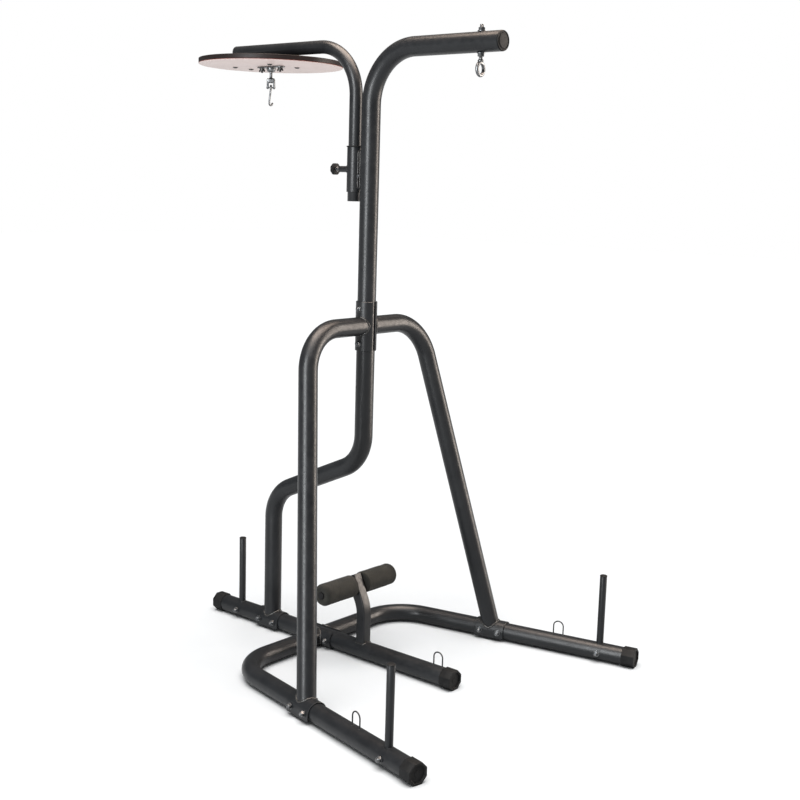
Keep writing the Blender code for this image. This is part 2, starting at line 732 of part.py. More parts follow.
def build_speed_arm():
    """Telescoping arm, its plug and the round platform it carries."""
    end_x = CROSS_X - SPEED_END_BACK
    corners = [(SLEEVE_X, 0, SPEED_LOW_Z), (SLEEVE_X, 0, SPEED_Z), (end_x, 0, SPEED_Z)]
    arm = tube("speed_arm", bent_path(corners, SPEED_BEND), SPEED_OD / 2, SPEED_WALL, 16, PAINT)
    bore = (SPEED_OD / 2 - SPEED_WALL) * math.cos(math.pi / 16) - GAP
    profile = [(0, 0.0035), (0.017, 0.0035), (0.0200, 0.0015), (0.0200, GAP), (bore, GAP),
               (bore, -0.016), (0, -0.016)]
    plug = turned("speed_arm_plug", profile, frame(Vector((end_x, 0, SPEED_Z)), -X_AXIS), PLASTIC)
    plate_top = SPEED_Z - SPEED_OD / 2 - GAP
    plate_z = plate_top - PLATE_THICK / 2
    plate = block("platform_plate", Matrix.Translation((PLATFORM_X, 0, plate_z)),
                  (0.150, 0.048, PLATE_THICK), PAINT, 0.0008)
    board_top = plate_top - PLATE_THICK - GAP
    board_z = board_top - PLATFORM_THICK / 2
    board = prism("platform_board", Matrix.Translation((PLATFORM_X, 0, board_z)),
                  PLATFORM_RADIUS, PLATFORM_THICK, 48, BOARD)
    underside = board_top - PLATFORM_THICK
    pieces = [arm, plug, plate, board]
    pieces += build_platform_studs(board, plate, underside)
    return pieces, underside


def build_platform_studs(board, plate, underside):
    """Two studs down through the board, each with a wing nut under it."""
    pieces = []
    stud_top = underside + PLATFORM_THICK + GAP + PLATE_THICK
    swivel_low = underside - GAP - SWIVEL_PLATE
    for word, sign in (("rear", -1), ("front", 1)):
        x = PLATFORM_X + sign * STUD_SPREAD
        name = "wing_nut_" + word
        low, high = (x, 0, swivel_low - 0.016), (x, 0, stud_top - 0.001)
        stud = rod(name, low, high, STUD_RADIUS, SMALL_SIDES)
        hub_z = swivel_low - GAP - 0.0045
        hub = prism("hub", Matrix.Translation((x, 0, hub_z)), 0.0075, 0.009, 16,
                    top_radius=0.009)
        wings = block("wings", Matrix.Translation((x, 0, hub_z - 0.003)), (0.030, 0.004, 0.011),
                      None, 0.0015)
        drill = hole(name, (x, 0, board.location.z), Z_AXIS, STUD_HOLE, 0.05)
        cut(board, drill)
        cut(plate, drill)
        nut = fuse(stud, hub, wings)
        nut.data.materials.append(DARK_STEEL)
        pieces.append(smooth(nut))
    return pieces


def build_swivel(underside):
    """Plate and cup under the board; stem and fork that spin; the hook."""
    plate_z = underside - GAP - SWIVEL_PLATE / 2
    ends = arc((STUD_SPREAD, 0), SWIVEL_END, -math.pi / 2, math.pi / 2, 8)
    ends += arc((-STUD_SPREAD, 0), SWIVEL_END, math.pi / 2, 3 * math.pi / 2, 8)
    plate_at = Matrix.Translation((PLATFORM_X, 0, plate_z))
    flat = outline("swivel_plate", ends, SWIVEL_PLATE, plate_at)
    cup_top = underside - GAP - SWIVEL_PLATE
    cup_profile = [(0, 0.001), (0.016, 0.001), (0.016, -0.006), (0.013, -0.013),
                   (0.008, -0.016), (0, -0.016)]
    cavity_profile = [(0, -0.0012), (0.0105, -0.0012), (0.0105, -0.009), (0.0056, -0.012),
                      (0.0056, -0.020), (0, -0.020)]
    cup_at = Matrix.Translation((PLATFORM_X, 0, cup_top))
    plate = fuse(flat, as_mesh(turned("cup", cup_profile, cup_at, None)))
    plate.data.materials.append(ZINC)
    cut(smooth(plate), as_mesh(turned("swivel_cavity", cavity_profile, cup_at, None)))
    for word, sign in (("rear", -1), ("front", 1)):
        x = PLATFORM_X + sign * STUD_SPREAD
        cut(plate, hole("swivel_plate_" + word, (x, 0, plate_z), Z_AXIS, STUD_HOLE, 0.006))
    turning = axis_empty("swivel_turn", (PLATFORM_X, 0, cup_top), SWIVEL_TURN)
    bpy.context.view_layer.update()
    local = turning.matrix_world
    stem_profile = [(0, -0.002), (0.0095, -0.002), (0.0095, -0.0075), (0.0050, -0.0115),
                    (0.0050, -0.040), (0, -0.040)]
    stem = as_mesh(turned("swivel_fork", stem_profile, local, None, 16))
    body = block("fork_body", local @ Matrix.Translation((0, 0, FORK_MIDDLE)), FORK_SIZE,
                 None, 0.003)
    slot = block("fork_slot", local @ Matrix.Translation((0, 0, FORK_SLOT_MIDDLE)), FORK_SLOT)
    pin_at = local @ Vector((0, 0, PIN_Z))
    across = (local.to_3x3() @ X_AXIS).normalized()
    fork = as_mesh(cut(fuse(stem, body), slot))
    bpy.data.objects.remove(slot)
    pin = rod("pin", pin_at - across * PIN_REACH, pin_at + across * PIN_REACH, PIN_RADIUS)
    fork = fuse(fork, pin)
    fork.data.materials.append(ZINC)
    hook = build_hook(pin_at, local)
    return plate, turning, smooth(fork), hook, pin_at


def build_hook(pin_at, local):
    """S-hook: an almost closed eye round the pin, an open hook below."""
    points = []
    for y, z in arc((0, 0), HOOK_EYE, math.radians(-60), math.radians(230), 16):
        points.append((0, y, z))
    across = math.sin(HOOK_TWIST)
    along = math.cos(HOOK_TWIST)
    for y, z in arc((0, -HOOK_DROP), HOOK_BEND, math.radians(165), math.radians(370), 14):
        points.append((y * across, y * along, z))
    place = Matrix.Translation(pin_at) @ local.to_3x3().to_4x4()
    path = [place @ Vector(point) for point in points]
    return wire("speed_bag_hook", path, HOOK_WIRE, ZINC)


def build_speed_station():
    bushing, face = build_sleeve()
    build_lock(face)
    arm_pieces, underside = build_speed_arm()
    plate, turning, fork, hook, pin_at = build_swivel(underside)
    swing = axis_empty("hook_swing", pin_at, SWIVEL_TURN)
    slide = axis_empty("speed_arm_slide", (SLEEVE_X, 0, SLEEVE_HIGH_Z))
    bushing_turn = axis_empty("arm_bushing_turn", (SLEEVE_X, 0, SLEEVE_HIGH_Z))
    ride_on(swing, hook)
    ride_on(turning, swing, fork)
    ride_on(slide, turning, plate, *arm_pieces)
    ride_on(bushing_turn, bushing, slide)


# ------------------------------------------------------------ foam roller

def build_roller():
    """Bent square strut on the centre tube, axle and two foam rolls."""
    x = CROSS_X + ROLLER_FORWARD
    axle = Vector((x - ROLLER_LEAN, 0, ROLLER_Z))
    lean = (ROLLER_Z - ROLLER_KNEE_Z) / (ROLLER_TOP_Z - ROLLER_KNEE_Z)
    top = Vector((x - ROLLER_LEAN / lean, 0, ROLLER_TOP_Z))
    half = STRUT_SIZE / 2
    square = [(-half, -half), (half, -half), (half, half), (-half, half)]
    profile = bpy.data.curves.new("strut_profile", "CURVE")
    profile.dimensions = "2D"
    spline = profile.splines.new("POLY")
    spline.points.add(3)
    for point, place in zip(spline.points, square):
        point.co = (*place, 0, 1)
    spline.use_cyclic_u = True
    guide = add_object("strut_profile", profile)
    make_guide(guide)
    corners = [(x, 0, TUBE_Z + 0.02), (x, 0, ROLLER_KNEE_Z), top]
    strut = tube("roller_strut", bent_path(corners, 0.120), None, 0.002, 4, PAINT, guide)
    cut(strut, hole("roller_strut_foot", (x, 0, TUBE_Z), X_AXIS, TUBE_R + GAP, 0.05,
                    2 * MAIN_SIDES))
    cut(strut, hole("roller_axle", axle, Y_AXIS, AXLE_RADIUS + 2 * GAP, 0.03, 16))
    reach = Y_AXIS * (FOAM_OUTER_Y + 0.001)
    cap = Y_AXIS * 0.003
    bar = rod("roller_axle", axle - reach - cap / 2, axle + reach + cap / 2, AXLE_RADIUS, 16)
    near_cap = rod("near_cap", axle - reach - cap, axle - reach, 0.0125, 16)
    far_cap = rod("far_cap", axle + reach, axle + reach + cap, 0.0125, 16)
    bar = fuse(bar, near_cap, far_cap)
    bar.data.materials.append(DARK_STEEL)
    length = FOAM_OUTER_Y - FOAM_INNER_Y
    outer = FOAM_OD / 2
    bore = FOAM_BORE / 2 / math.cos(math.pi / 16) + GAP
    profile = [(bore, length), (outer - FOAM_ROUND, length)]
    for step in range(1, 4):
        angle = math.pi / 2 * step / 4
        profile.append((outer - FOAM_ROUND * (1 - math.sin(angle)),
                        length - FOAM_ROUND * (1 - math.cos(angle))))
    profile += [(outer, length - FOAM_ROUND), (outer, 0), (bore, 0)]
    for side, word in ((-1, "near"), (1, "far")):
        place = frame(axle + Y_AXIS * side * FOAM_INNER_Y, Y_AXIS * side, X_AXIS)
        turning = axis_empty("foam_turn_" + word, place.translation)
        roll = turned("foam_roll_" + word, profile, place, FOAM, 16)
        ride_on(turning, roll)


build_base()
build_eye_bolt(build_uprights())
build_speed_station()
build_roller()
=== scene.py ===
"""Looks of the two-station boxing stand, built round its CAD frame.

Metres, +Z up, in the frame of the CAD. Anchors come from the CAD nodes' boxes;
the other lengths are the stand's own dimensions, the same as in its CAD.
"""
import math

import bmesh
import bpy
from mathutils import Matrix, Vector, noise


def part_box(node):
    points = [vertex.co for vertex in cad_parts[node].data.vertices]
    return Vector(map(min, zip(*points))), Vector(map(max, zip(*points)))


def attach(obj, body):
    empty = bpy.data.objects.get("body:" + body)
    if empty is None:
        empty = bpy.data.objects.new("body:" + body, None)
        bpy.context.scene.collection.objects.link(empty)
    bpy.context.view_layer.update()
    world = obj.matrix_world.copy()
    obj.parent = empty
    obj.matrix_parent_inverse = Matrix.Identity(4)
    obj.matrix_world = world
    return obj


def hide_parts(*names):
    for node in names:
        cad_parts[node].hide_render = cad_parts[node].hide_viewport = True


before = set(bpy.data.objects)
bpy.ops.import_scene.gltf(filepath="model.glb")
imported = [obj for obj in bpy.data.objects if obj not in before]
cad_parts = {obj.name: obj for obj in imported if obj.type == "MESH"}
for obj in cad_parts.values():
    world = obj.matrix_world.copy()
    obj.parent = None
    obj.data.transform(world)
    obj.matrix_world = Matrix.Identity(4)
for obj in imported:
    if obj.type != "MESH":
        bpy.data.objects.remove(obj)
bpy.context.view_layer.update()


def middle(*nodes):
    """The centre of the box round some CAD nodes."""
    lows, highs = zip(*(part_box(node) for node in nodes))
    low = [min(values) for values in zip(*lows)]
    high = [max(values) for values in zip(*highs)]
    return (Vector(low) + Vector(high)) / 2


def low(node):
    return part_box(node)[0]


def high(node):
    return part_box(node)[1]


X_AXIS = Vector((1, 0, 0))
Y_AXIS = Vector((0, 1, 0))
Z_AXIS = Vector((0, 0, 1))
SIDES = ((-1, "near"), (1, "far"))

# Gap between neighbours that touch in the real stand.
GAP = 0.0003

# Tubes and the base.
TUBE_R = 0.03175
WALL = 0.002
SADDLE_IN = 0.0327
SADDLE_OUT = 0.0367
SPLAY = math.radians(11.6)
CORNER_Y = 0.413
CORNER_BEND = 0.165
LEG_LENGTH = 0.979
A_FOOT_ALONG = 0.420
POST_BEND = 0.140
A_BEND = 0.158
ARM_BEND = 0.180
S_BEND_LOW_Z = 0.522
S_BEND_HIGH_Z = 0.717
A_TOP_HALF = 0.2823
TUBE_Z = middle("centre_tube").z
CROSS_X = middle("cross_saddle_near").x
POST_X = middle("clamp_bolt_high").x
POST_FOOT_X = middle("post_foot_saddle").x
JOINT_Z = middle("clamp_half_near").z
ARM_Z = middle("arm_end_plug").z
ARM_END_X = high("upper_post_arm").x

# Speed-bag station.
SLEEVE_X = middle("arm_bushing").x
SLEEVE_LOW_Z = low("arm_sleeve").z
SLEEVE_HIGH_Z = high("arm_sleeve").z
SLEEVE_R = 0.0260
BUSHING_R = 0.0287
SPEED_R = 0.02225
SPEED_BEND = 0.165
SPEED_Z = middle("speed_arm_plug").z
SPEED_LOW_Z = low("speed_arm").z
SPEED_END_X = low("speed_arm").x
LOCK_Z = middle("lock_knob").z
BOARD = middle("platform_board")
BOARD_LOW_Z = low("platform_board").z
BOARD_HIGH_Z = high("platform_board").z
BOARD_R = 0.254
SWIVEL_TURN = math.radians(40)


# ---------- materials

class Finish:
    """A Principled material whose colour, roughness and bump come from nodes."""

    def __init__(self, name, roughness=0.5, metallic=0.0, specular=0.5, **sockets):
        self.material = bpy.data.materials.new(name)
        self.material.use_nodes = True
        self.tree = self.material.node_tree
        self.shader = self.tree.nodes["Principled BSDF"]
        self.shader.inputs["Roughness"].default_value = roughness
        self.shader.inputs["Metallic"].default_value = metallic
        self.shader.inputs["Specular IOR Level"].default_value = specular
        for socket, value in sockets.items():
            self.shader.inputs[socket.replace("_", " ")].default_value = value
        self.place = self.tree.nodes.new("ShaderNodeTexCoord").outputs["Object"]
        self.surface = None

    def feed(self, target, value):
        """Link a socket to another one, or give it a plain value."""
        if isinstance(value, bpy.types.NodeSocket):
            self.tree.links.new(value, target)
        else:
            target.default_value = value

    def add(self, kind, inputs, **settings):
        node = self.tree.nodes.new("ShaderNode" + kind)
        for key, value in settings.items():
            setattr(node, key, value)
        for socket, value in inputs.items():
            self.feed(node.inputs[socket], value)
        return node

    def stretched(self, scale):
        node = self.add("Mapping", {"Vector": self.place, "Scale": scale})
        return node.outputs["Vector"]

    def noise(self, scale, detail=2.0, roughness=0.5, where=None, distortion=0.0):
        node = self.add("TexNoise", {
            "Vector": where or self.place, "Scale": scale, "Detail": detail,
            "Roughness": roughness, "Distortion": distortion})
        return node.outputs["Fac"]

    def cells(self, scale):
        node = self.add("TexVoronoi", {"Vector": self.place, "Scale": scale})
        return node.outputs["Distance"]

    def mapped(self, value, start, end, low_out, high_out):
        node = self.add("MapRange", {
            "Value": value, "From Min": start, "From Max": end,
            "To Min": low_out, "To Max": high_out})
        return node.outputs["Result"]

    def ramp(self, value, *stops):
        node = self.add("ValToRGB", {"Fac": value})
        while len(node.color_ramp.elements) < len(stops):
            node.color_ramp.elements.new(0.5)
        for element, (position, colour) in zip(node.color_ramp.elements, stops):
            element.position = position
            element.color = (*colour, 1)
        return node.outputs["Color"]

    def mixed(self, factor, first, second):
        """Mix a colour that comes from nodes with a plain second colour."""
        node = self.add("Mix", {0: factor, 6: first, 7: (*second, 1)}, data_type="RGBA")
        return node.outputs[2]

    def set(self, socket, value):
        self.tree.links.new(value, self.shader.inputs[socket])

    def rough(self, value, smoothest, roughest):
        self.set("Roughness", self.mapped(value, 0.3, 0.7, smoothest, roughest))

    def bump(self, height, strength, distance):
        """A bump on top of the ones before it."""
        node = self.add("Bump", {"Height": height, "Strength": strength, "Distance": distance})
        if self.surface is not None:
            self.feed(node.inputs["Normal"], self.surface)
        self.surface = node.outputs["Normal"]
        self.set("Normal", self.surface)


def powder_coat(name, dark, light, rough):
    """Satin coat: orange peel, fine grit, slow cloudiness and a little dust."""
    f = Finish(name, specular=0.26)
    cloud = f.noise(9.0, 4.0, 0.6)
    grit = f.noise(2600.0, 1.0)
    base = f.ramp(cloud, (0.30, dark), (0.72, light))
    speck = f.mapped(grit, 0.62, 0.80, 0.0, 0.35)
    f.set("Base Color", f.mixed(speck, base, tuple(3.2 * value for value in light)))
    peel = f.noise(420.0)
    f.rough(f.noise(70.0, 3.0), *rough)
    f.bump(peel, 0.10, 0.0006)
    f.bump(grit, 0.16, 0.00025)
    return f.material


def zinc():
    """Dull zinc plate, blotched from dark blue grey to a warmer pale grey."""
    f = Finish("zinc_plate_worked", metallic=1.0)
    cloud = f.noise(140.0, 3.0, 0.6)
    base = f.ramp(cloud, (0.30, (0.06, 0.066, 0.072)), (0.55, (0.145, 0.148, 0.152)),
                  (0.75, (0.24, 0.236, 0.225)))
    f.set("Base Color", base)
    f.rough(f.noise(900.0), 0.26, 0.44)
    f.bump(f.noise(1500.0), 0.15, 0.0002)
    return f.material


def dark_steel():
    """Blackened steel with a cast grain."""
    f = Finish("dark_steel_worked", metallic=0.85)
    base = f.ramp(f.noise(160.0, 3.0, 0.6), (0.3, (0.018, 0.018, 0.020)),
                  (0.7, (0.075, 0.073, 0.070)))
    f.set("Base Color", base)
    f.rough(f.noise(700.0), 0.26, 0.46)
    f.bump(f.noise(900.0), 0.2, 0.0003)
    return f.material


def moulded(name, dark, light, rough=(0.48, 0.64)):
    """Black moulded plastic: a spark-eroded grain and faint flow clouds."""
    f = Finish(name, specular=0.10)
    base = f.ramp(f.noise(30.0, 3.0, 0.55), (0.3, dark), (0.7, light))
    f.set("Base Color", base)
    f.rough(f.noise(240.0), *rough)
    f.bump(f.cells(1300.0), 0.22, 0.0003)
    return f.material


def foam_skin():
    """Closed-cell foam: pits of two sizes, their middles painted darker as shade in the hollows,
    and a worn, dusty olive cast.
    """
    f = Finish("foam_worked", specular=0.12, Sheen_Weight=0.04, Sheen_Roughness=0.6)
    cloud = f.noise(26.0, 5.0, 0.62)
    pits = f.cells(620.0)
    fine = f.cells(1500.0)
    base = f.ramp(cloud, (0.28, (0.0050, 0.0050, 0.0042)), (0.74, (0.0165, 0.0158, 0.0125)))
    # painted shade: the colour darkens toward the middle of each pit, where the bump below makes a
    # hollow
    hollow = f.mapped(pits, 0.05, 0.45, 0.75, 0.0)
    f.set("Base Color", f.mixed(hollow, base, (0.0022, 0.0022, 0.0019)))
    f.set("Roughness", f.mapped(fine, 0.1, 0.6, 0.96, 0.78))
    f.bump(pits, 0.75, 0.0011)
    f.bump(fine, 0.55, 0.0005)
    f.bump(f.noise(90.0, 3.0), 0.35, 0.0015)
    return f.material


def laminate():
    """Pale melamine face: long faint grain, slow cloud and a soft gloss."""
    f = Finish("laminate_face", specular=0.3, Coat_Weight=0.06, Coat_Roughness=0.25)
    along = f.stretched((3.0, 42.0, 1.0))
    grain = f.noise(6.0, 6.0, 0.62, where=along, distortion=0.7)
    pores = f.noise(30.0, 3.0, 0.6, where=f.stretched((4.0, 150.0, 1.0)))
    base = f.ramp(grain, (0.28, (0.435, 0.350, 0.330)), (0.50, (0.460, 0.374, 0.352)),
                  (0.74, (0.485, 0.400, 0.380)))
    tint = f.mapped(pores, 0.60, 0.80, 0.0, 0.14)
    f.set("Base Color", f.mixed(tint, base, (0.40, 0.32, 0.29)))
    f.rough(f.noise(35.0, 3.0), 0.38, 0.46)
    f.bump(pores, 0.05, 0.0001)
    return f.material


def board_edge(name, dark, light):
    """Stained board edge: layered fibres in bands, lightly varnished."""
    f = Finish(name, specular=0.12, Coat_Weight=0.04, Coat_Roughness=0.4)
    plies = f.noise(8.0, 4.0, 0.6, where=f.stretched((2.0, 2.0, 160.0)))
    fibre = f.noise(420.0, 3.0, 0.6)
    base = f.ramp(plies, (0.35, dark), (0.66, light))
    f.set("Base Color", f.mixed(f.mapped(fibre, 0.5, 0.75, 0.0, 0.5), base, dark))
    f.rough(fibre, 0.38, 0.60)
    f.bump(plies, 0.25, 0.0004)
    f.bump(fibre, 0.20, 0.0003)
    return f.material


COAT = powder_coat("powder_coat_worked", (0.0040, 0.0044, 0.0051), (0.0082, 0.0088, 0.0098),
                   (0.30, 0.42))
WELD = powder_coat("weld_coat", (0.008, 0.008, 0.008), (0.026, 0.025, 0.024), (0.18, 0.30))
ZINC = zinc()
STEEL = dark_steel()
PLASTIC = moulded("black_plastic_worked", (0.0035, 0.0036, 0.0038), (0.0085, 0.0086, 0.0088))
INSERT = moulded("nylon_insert", (0.006, 0.007, 0.009), (0.016, 0.018, 0.022), (0.3, 0.45))
FOAM = foam_skin()
FACE = laminate()
EDGE = board_edge("board_edge", (0.0035, 0.0022, 0.0022), (0.0125, 0.0078, 0.0072))
CORE = board_edge("board_core_line", (0.050, 0.013, 0.010), (0.12, 0.036, 0.026))


# ---------- shapes

def local_frame(origin, z_axis, y_axis=Z_AXIS):
    """Matrix of a local frame from its origin, its Z and roughly its Y."""
    z = z_axis.normalized()
    x = y_axis.cross(z).normalized()
    y = z.cross(x)
    return Matrix.Translation(origin) @ Matrix((x, y, z)).transposed().to_4x4()


def on_plane(x, z):
    """A point on the stand's middle plane."""
    return Vector((x, 0, z))


def upright(x, z=0.0):
    """Local frame on the middle plane, its axes along the stand's."""
    return Matrix.Translation((x, 0, z))


def facing(x, z, axis):
    """Local frame on the middle plane, its Z along an axis."""
    return local_frame(on_plane(x, z), axis)


class Shape:
    """Points and faces of one piece, with a material number for each face."""

    def __init__(self):
        self.points = []
        self.faces = []
        self.marks = []

    def skin(self, rings, mark=0, closed=False):
        """Join rings of equal length in order, closed into a loop or capped."""
        start = len(self.points)
        count = len(rings[0])
        for ring in rings:
            self.points.extend(ring)
        spans = len(rings) if closed else len(rings) - 1
        for row in range(spans):
            here = start + row * count
            there = start + (row + 1) % len(rings) * count
            for column in range(count):
                after = (column + 1) % count
                self.faces.append((here + column, here + after, there + after, there + column))
                self.marks.append(mark)
        if not closed:
            last = start + (len(rings) - 1) * count
            self.faces.append(tuple(reversed(range(start, start + count))))
            self.faces.append(tuple(range(last, last + count)))
            self.marks.extend((mark, mark))
        return self

    def turn(self, profile, matrix, sides=48, mark=0, closed=False, shape=None):
        """Turn (radius, height) points; shape changes the radius with angle."""
        rings = []
        for radius, height in profile:
            ring = []
            for step in range(sides):
                angle = 2 * math.pi * step / sides
                reach = shape(angle, radius, height) if shape else (radius, height)
                ring.append(matrix @ Vector((reach[0] * math.cos(angle),
                                             reach[0] * math.sin(angle), reach[1])))
            rings.append(ring)
        return self.skin(rings, mark, closed=closed)

    def ring(self, bore, radius, start, end, matrix, ease, steps=2, sides=48):
        """A turned ring of rectangular section with eased edges."""
        corners = [(bore, start), (radius, start), (radius, end), (bore, end)]
        section = eased(corners, ease, steps, closed=True)
        return self.turn(section, matrix, sides, closed=True)

    def prism(self, outline, length, matrix, edge):
        """An outline extruded along local Z, centred, with eased ends."""
        half = length / 2
        inner = inset(outline, edge)
        levels = [(inner, -half), (outline, edge - half), (outline, half - edge), (inner, half)]
        return self.skin([[matrix @ Vector((x, y, z)) for x, y in flat] for flat, z in levels])


def inset(outline, amount):
    """An outline moved inwards; the outline runs anticlockwise."""
    moved = []
    count = len(outline)
    for i in range(count):
        before = Vector(outline[i - 1])
        here = Vector(outline[i])
        after = Vector(outline[(i + 1) % count])
        first = (here - before).normalized()
        second = (after - here).normalized()
        normal = Vector((-first.y - second.y, first.x + second.x))
        if normal.length < 1e-6:
            normal = Vector((-first.y, first.x))
        normal.normalize()
        lean = max(0.35, normal.dot(Vector((-first.y, first.x))))
        moved.append(tuple(here + normal * amount / lean))
    return moved


def eased(corners, radius, steps=3, closed=False):
    """Points along corners in 2D, each corner rounded to about one radius."""
    points = []
    count = len(corners)
    for i in range(count):
        here = Vector(corners[i])
        if not closed and i in (0, count - 1):
            points.append(tuple(here))
            continue
        before = Vector(corners[i - 1]) - here
        after = Vector(corners[(i + 1) % count]) - here
        reach = min(radius, before.length * 0.45, after.length * 0.45)
        first = here + before.normalized() * reach
        last = here + after.normalized() * reach
        for step in range(steps + 1):
            t = step / steps
            spot = first * (1 - t) ** 2 + here * 2 * t * (1 - t) + last * t * t
            points.append(tuple(spot))
    return points


def piece(name, shape, materials, body="stand", stands_for=(), sharp=38):
    """Make an object of a shape, let it ride on a body and hide the CAD nodes that it stands for.
    """
    if not isinstance(materials, (list, tuple)):
        materials = [materials]
    mesh = bpy.data.meshes.new(name)
    mesh.from_pydata([tuple(point) for point in shape.points], [], shape.faces)
    for number, mark in enumerate(shape.marks):
        mesh.polygons[number].material_index = mark
    work = bmesh.new()
    work.from_mesh(mesh)
    bmesh.ops.recalc_face_normals(work, faces=work.faces)
    work.to_mesh(mesh)
    work.free()
    for material in materials:
        mesh.materials.append(material)
    mesh.shade_smooth()
    mesh.set_sharp_from_angle(angle=math.radians(sharp))
    obj = bpy.data.objects.new(name, mesh)
    bpy.context.scene.collection.objects.link(obj)
    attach(obj, body)
    if stands_for:
        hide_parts(*stands_for)
    return obj


def stand_in(node, shape, materials, body="stand", **options):
    """The detailed piece that stands for one CAD node."""
    return piece(node + "_detail", shape, materials, body, [node], **options)


def circle(radius, sides=64):
    angles = [2 * math.pi * i / sides for i in range(sides)]
    return [(radius * math.cos(angle), radius * math.sin(angle)) for angle in angles]


def rectangle(half_x, half_y):
    return [(-half_x, -half_y), (half_x, -half_y), (half_x, half_y), (-half_x, half_y)]


def arc(centre, radius, start, end, steps):
    points = []
    for step in range(steps + 1):
        angle = start + (end - start) * step / steps
        points.append((centre[0] + radius * math.cos(angle), centre[1] + radius * math.sin(angle)))
    return points


def bent_path(corners, radius, step_angle=math.radians(3)):
    """A polyline whose inner corners are rounded to one bend radius."""
    corners = [Vector(corner) for corner in corners]
    points = [corners[0]]
    for before, corner, after in zip(corners, corners[1:], corners[2:]):
        back = (before - corner).normalized()
        onward = (after - corner).normalized()
        half = back.angle(onward) / 2
        centre = corner + (back + onward).normalized() * radius / math.sin(half)
        first = corner + back * radius / math.tan(half) - centre
        last = corner + onward * radius / math.tan(half) - centre
        turn = first.angle(last)
        axis = first.cross(last).normalized()
        steps = max(4, math.ceil(turn / step_angle))
        for step in range(steps + 1):
            points.append(centre + Matrix.Rotation(turn * step / steps, 3, axis) @ first)
    points.append(corners[-1])
    return points


def stations(path, closed=False):
    """Origin, tangent and two normals at each point, carried without twist."""
    count = len(path)
    tangents = []
    for i in range(count):
        before = path[i - 1] if closed or i else path[0]
        after = path[(i + 1) % count] if closed or i < count - 1 else path[-1]
        tangents.append((after - before).normalized())
    start = Y_AXIS if abs(tangents[0].dot(Y_AXIS)) < 0.9 else X_AXIS
    x = (start - tangents[0] * start.dot(tangents[0])).normalized()
    found = []
    for point, tangent in zip(path, tangents):
        x = (x - tangent * x.dot(tangent)).normalized()
        found.append((point, tangent, x, tangent.cross(x)))
    return found


def ring_at(station, profile):
    point, _, x, y = station
    return [point + x * a + y * b for a, b in profile]


def meet(point, direction, round_bar):
    """Where a line first meets a round bar given as (centre, axis, radius)."""
    centre, axis, radius = round_bar
    offset = (point - centre) - axis * (point - centre).dot(axis)
    along = direction - axis * direction.dot(axis)
    a = along.dot(along)
    b = 2 * offset.dot(along)
    c = offset.dot(offset) - radius * radius
    reach = (-b - math.sqrt(max(0.0, b * b - 4 * a * c))) / (2 * a)
    return point + direction * reach


def pipe(node, path, outer, inner, body="stand", hides=(), cope_start=None, cope_end=None):
    """A hollow tube that stands for a node, its ends eased or coped to a round bar."""
    found = stations(path)
    rings = [ring_at(station, outer) for station in found]
    inside = [ring_at(station, inner) for station in found]
    for rows in (rings, inside):
        if cope_start:
            rows[0] = [meet(p, -found[0][1], cope_start) for p in rows[0]]
        if cope_end:
            rows[-1] = [meet(p, found[-1][1], cope_end) for p in rows[-1]]
    if not (cope_start or cope_end):
        ease = 0.0005
        share = 1 - ease / 0.03
        first, *_, last = found
        small = [(x * share, y * share) for x, y in outer]
        rings[0] = ring_at((first[0] + first[1] * ease, *first[1:]), outer)
        rings[-1] = ring_at((last[0] - last[1] * ease, *last[1:]), outer)
        rings = [ring_at(first, small)] + rings + [ring_at(last, small)]
    shape = Shape().skin(rings + inside[::-1], closed=True)
    piece(node + "_detail", shape, COAT, body, [node, *hides])


def round_pipe(node, path, radius, **options):
    pipe(node, path, circle(radius), circle(radius - WALL), **options)


def resampled(path, spacing, closed):
    """Points at an even spacing along a path."""
    points = list(path) + ([path[0]] if closed else [])
    lengths = [(b - a).length for a, b in zip(points, points[1:])]
    total = sum(lengths)
    count = max(8, round(total / spacing))
    wanted = [total * i / count for i in range(count if closed else count + 1)]
    found = []
    index = 0
    gone = 0.0
    for distance in wanted:
        while index < len(lengths) - 1 and gone + lengths[index] < distance:
            gone += lengths[index]
            index += 1
        share = (distance - gone) / lengths[index] if lengths[index] else 0.0
        found.append(points[index].lerp(points[index + 1], min(1.0, share)))
    return found


def add_bead(shape, path, radius, closed=True, spacing=0.0009, ripple=0.0034):
    """A weld bead: overlapping ripples with a little unevenness."""
    path = resampled(path, spacing, closed)
    rings = []
    for number, station in enumerate(stations(path, closed)):
        phase = (number * spacing / ripple) % 1.0
        swell = 0.92 + 0.16 * math.sqrt(1.0 - phase)
        swell *= 1.0 + 0.28 * noise.noise(station[0] * 130.0)
        shrink = 1.0
        if not closed:
            from_end = min(number, len(path) - 1 - number) * spacing
            shrink = min(1.0, 0.35 + from_end / radius * 0.5)
        rings.append(ring_at(station, circle(radius * swell * shrink, 12)))
    return shape.skin(rings, closed=closed)


def weld(name, path, radius=0.0034):
    piece(name, add_bead(Shape(), path, radius), WELD, sharp=80)


def coped_edge(path, radius, round_bar, at_start=True):
    """The curve where a tube's outside meets a round bar."""
    found = stations(path)
    station = found[0] if at_start else found[-1]
    direction = -station[1] if at_start else station[1]
    return [meet(p, direction, round_bar) for p in ring_at(station, circle(radius, 96))]


def leg_point(side, along):
    """A point on a splayed leg's axis, measured from the base corner."""
    x = CROSS_X + along * math.cos(SPLAY)
    y = side * (CORNER_Y + along * math.sin(SPLAY))
    return Vector((x, y, TUBE_Z))


def leg_axis(side):
    return Vector((math.cos(SPLAY), side * math.sin(SPLAY), 0))


# ---------- fastenings

# A hexagon's edges in a profile, in place of a radius.
LOW_EDGE = -1.0
TOP_EDGE = -2.0
# The chamfer starts at this share of the flats' reach.
FACE_SHARE = 0.96
CHAMFER = math.radians(30)
BOLT_R = 0.0050
BOLT_FLATS = 0.017
BOLT_HEAD = 0.0064
NUT_HEIGHT = 0.0068
WASHER_THICK = 0.0016


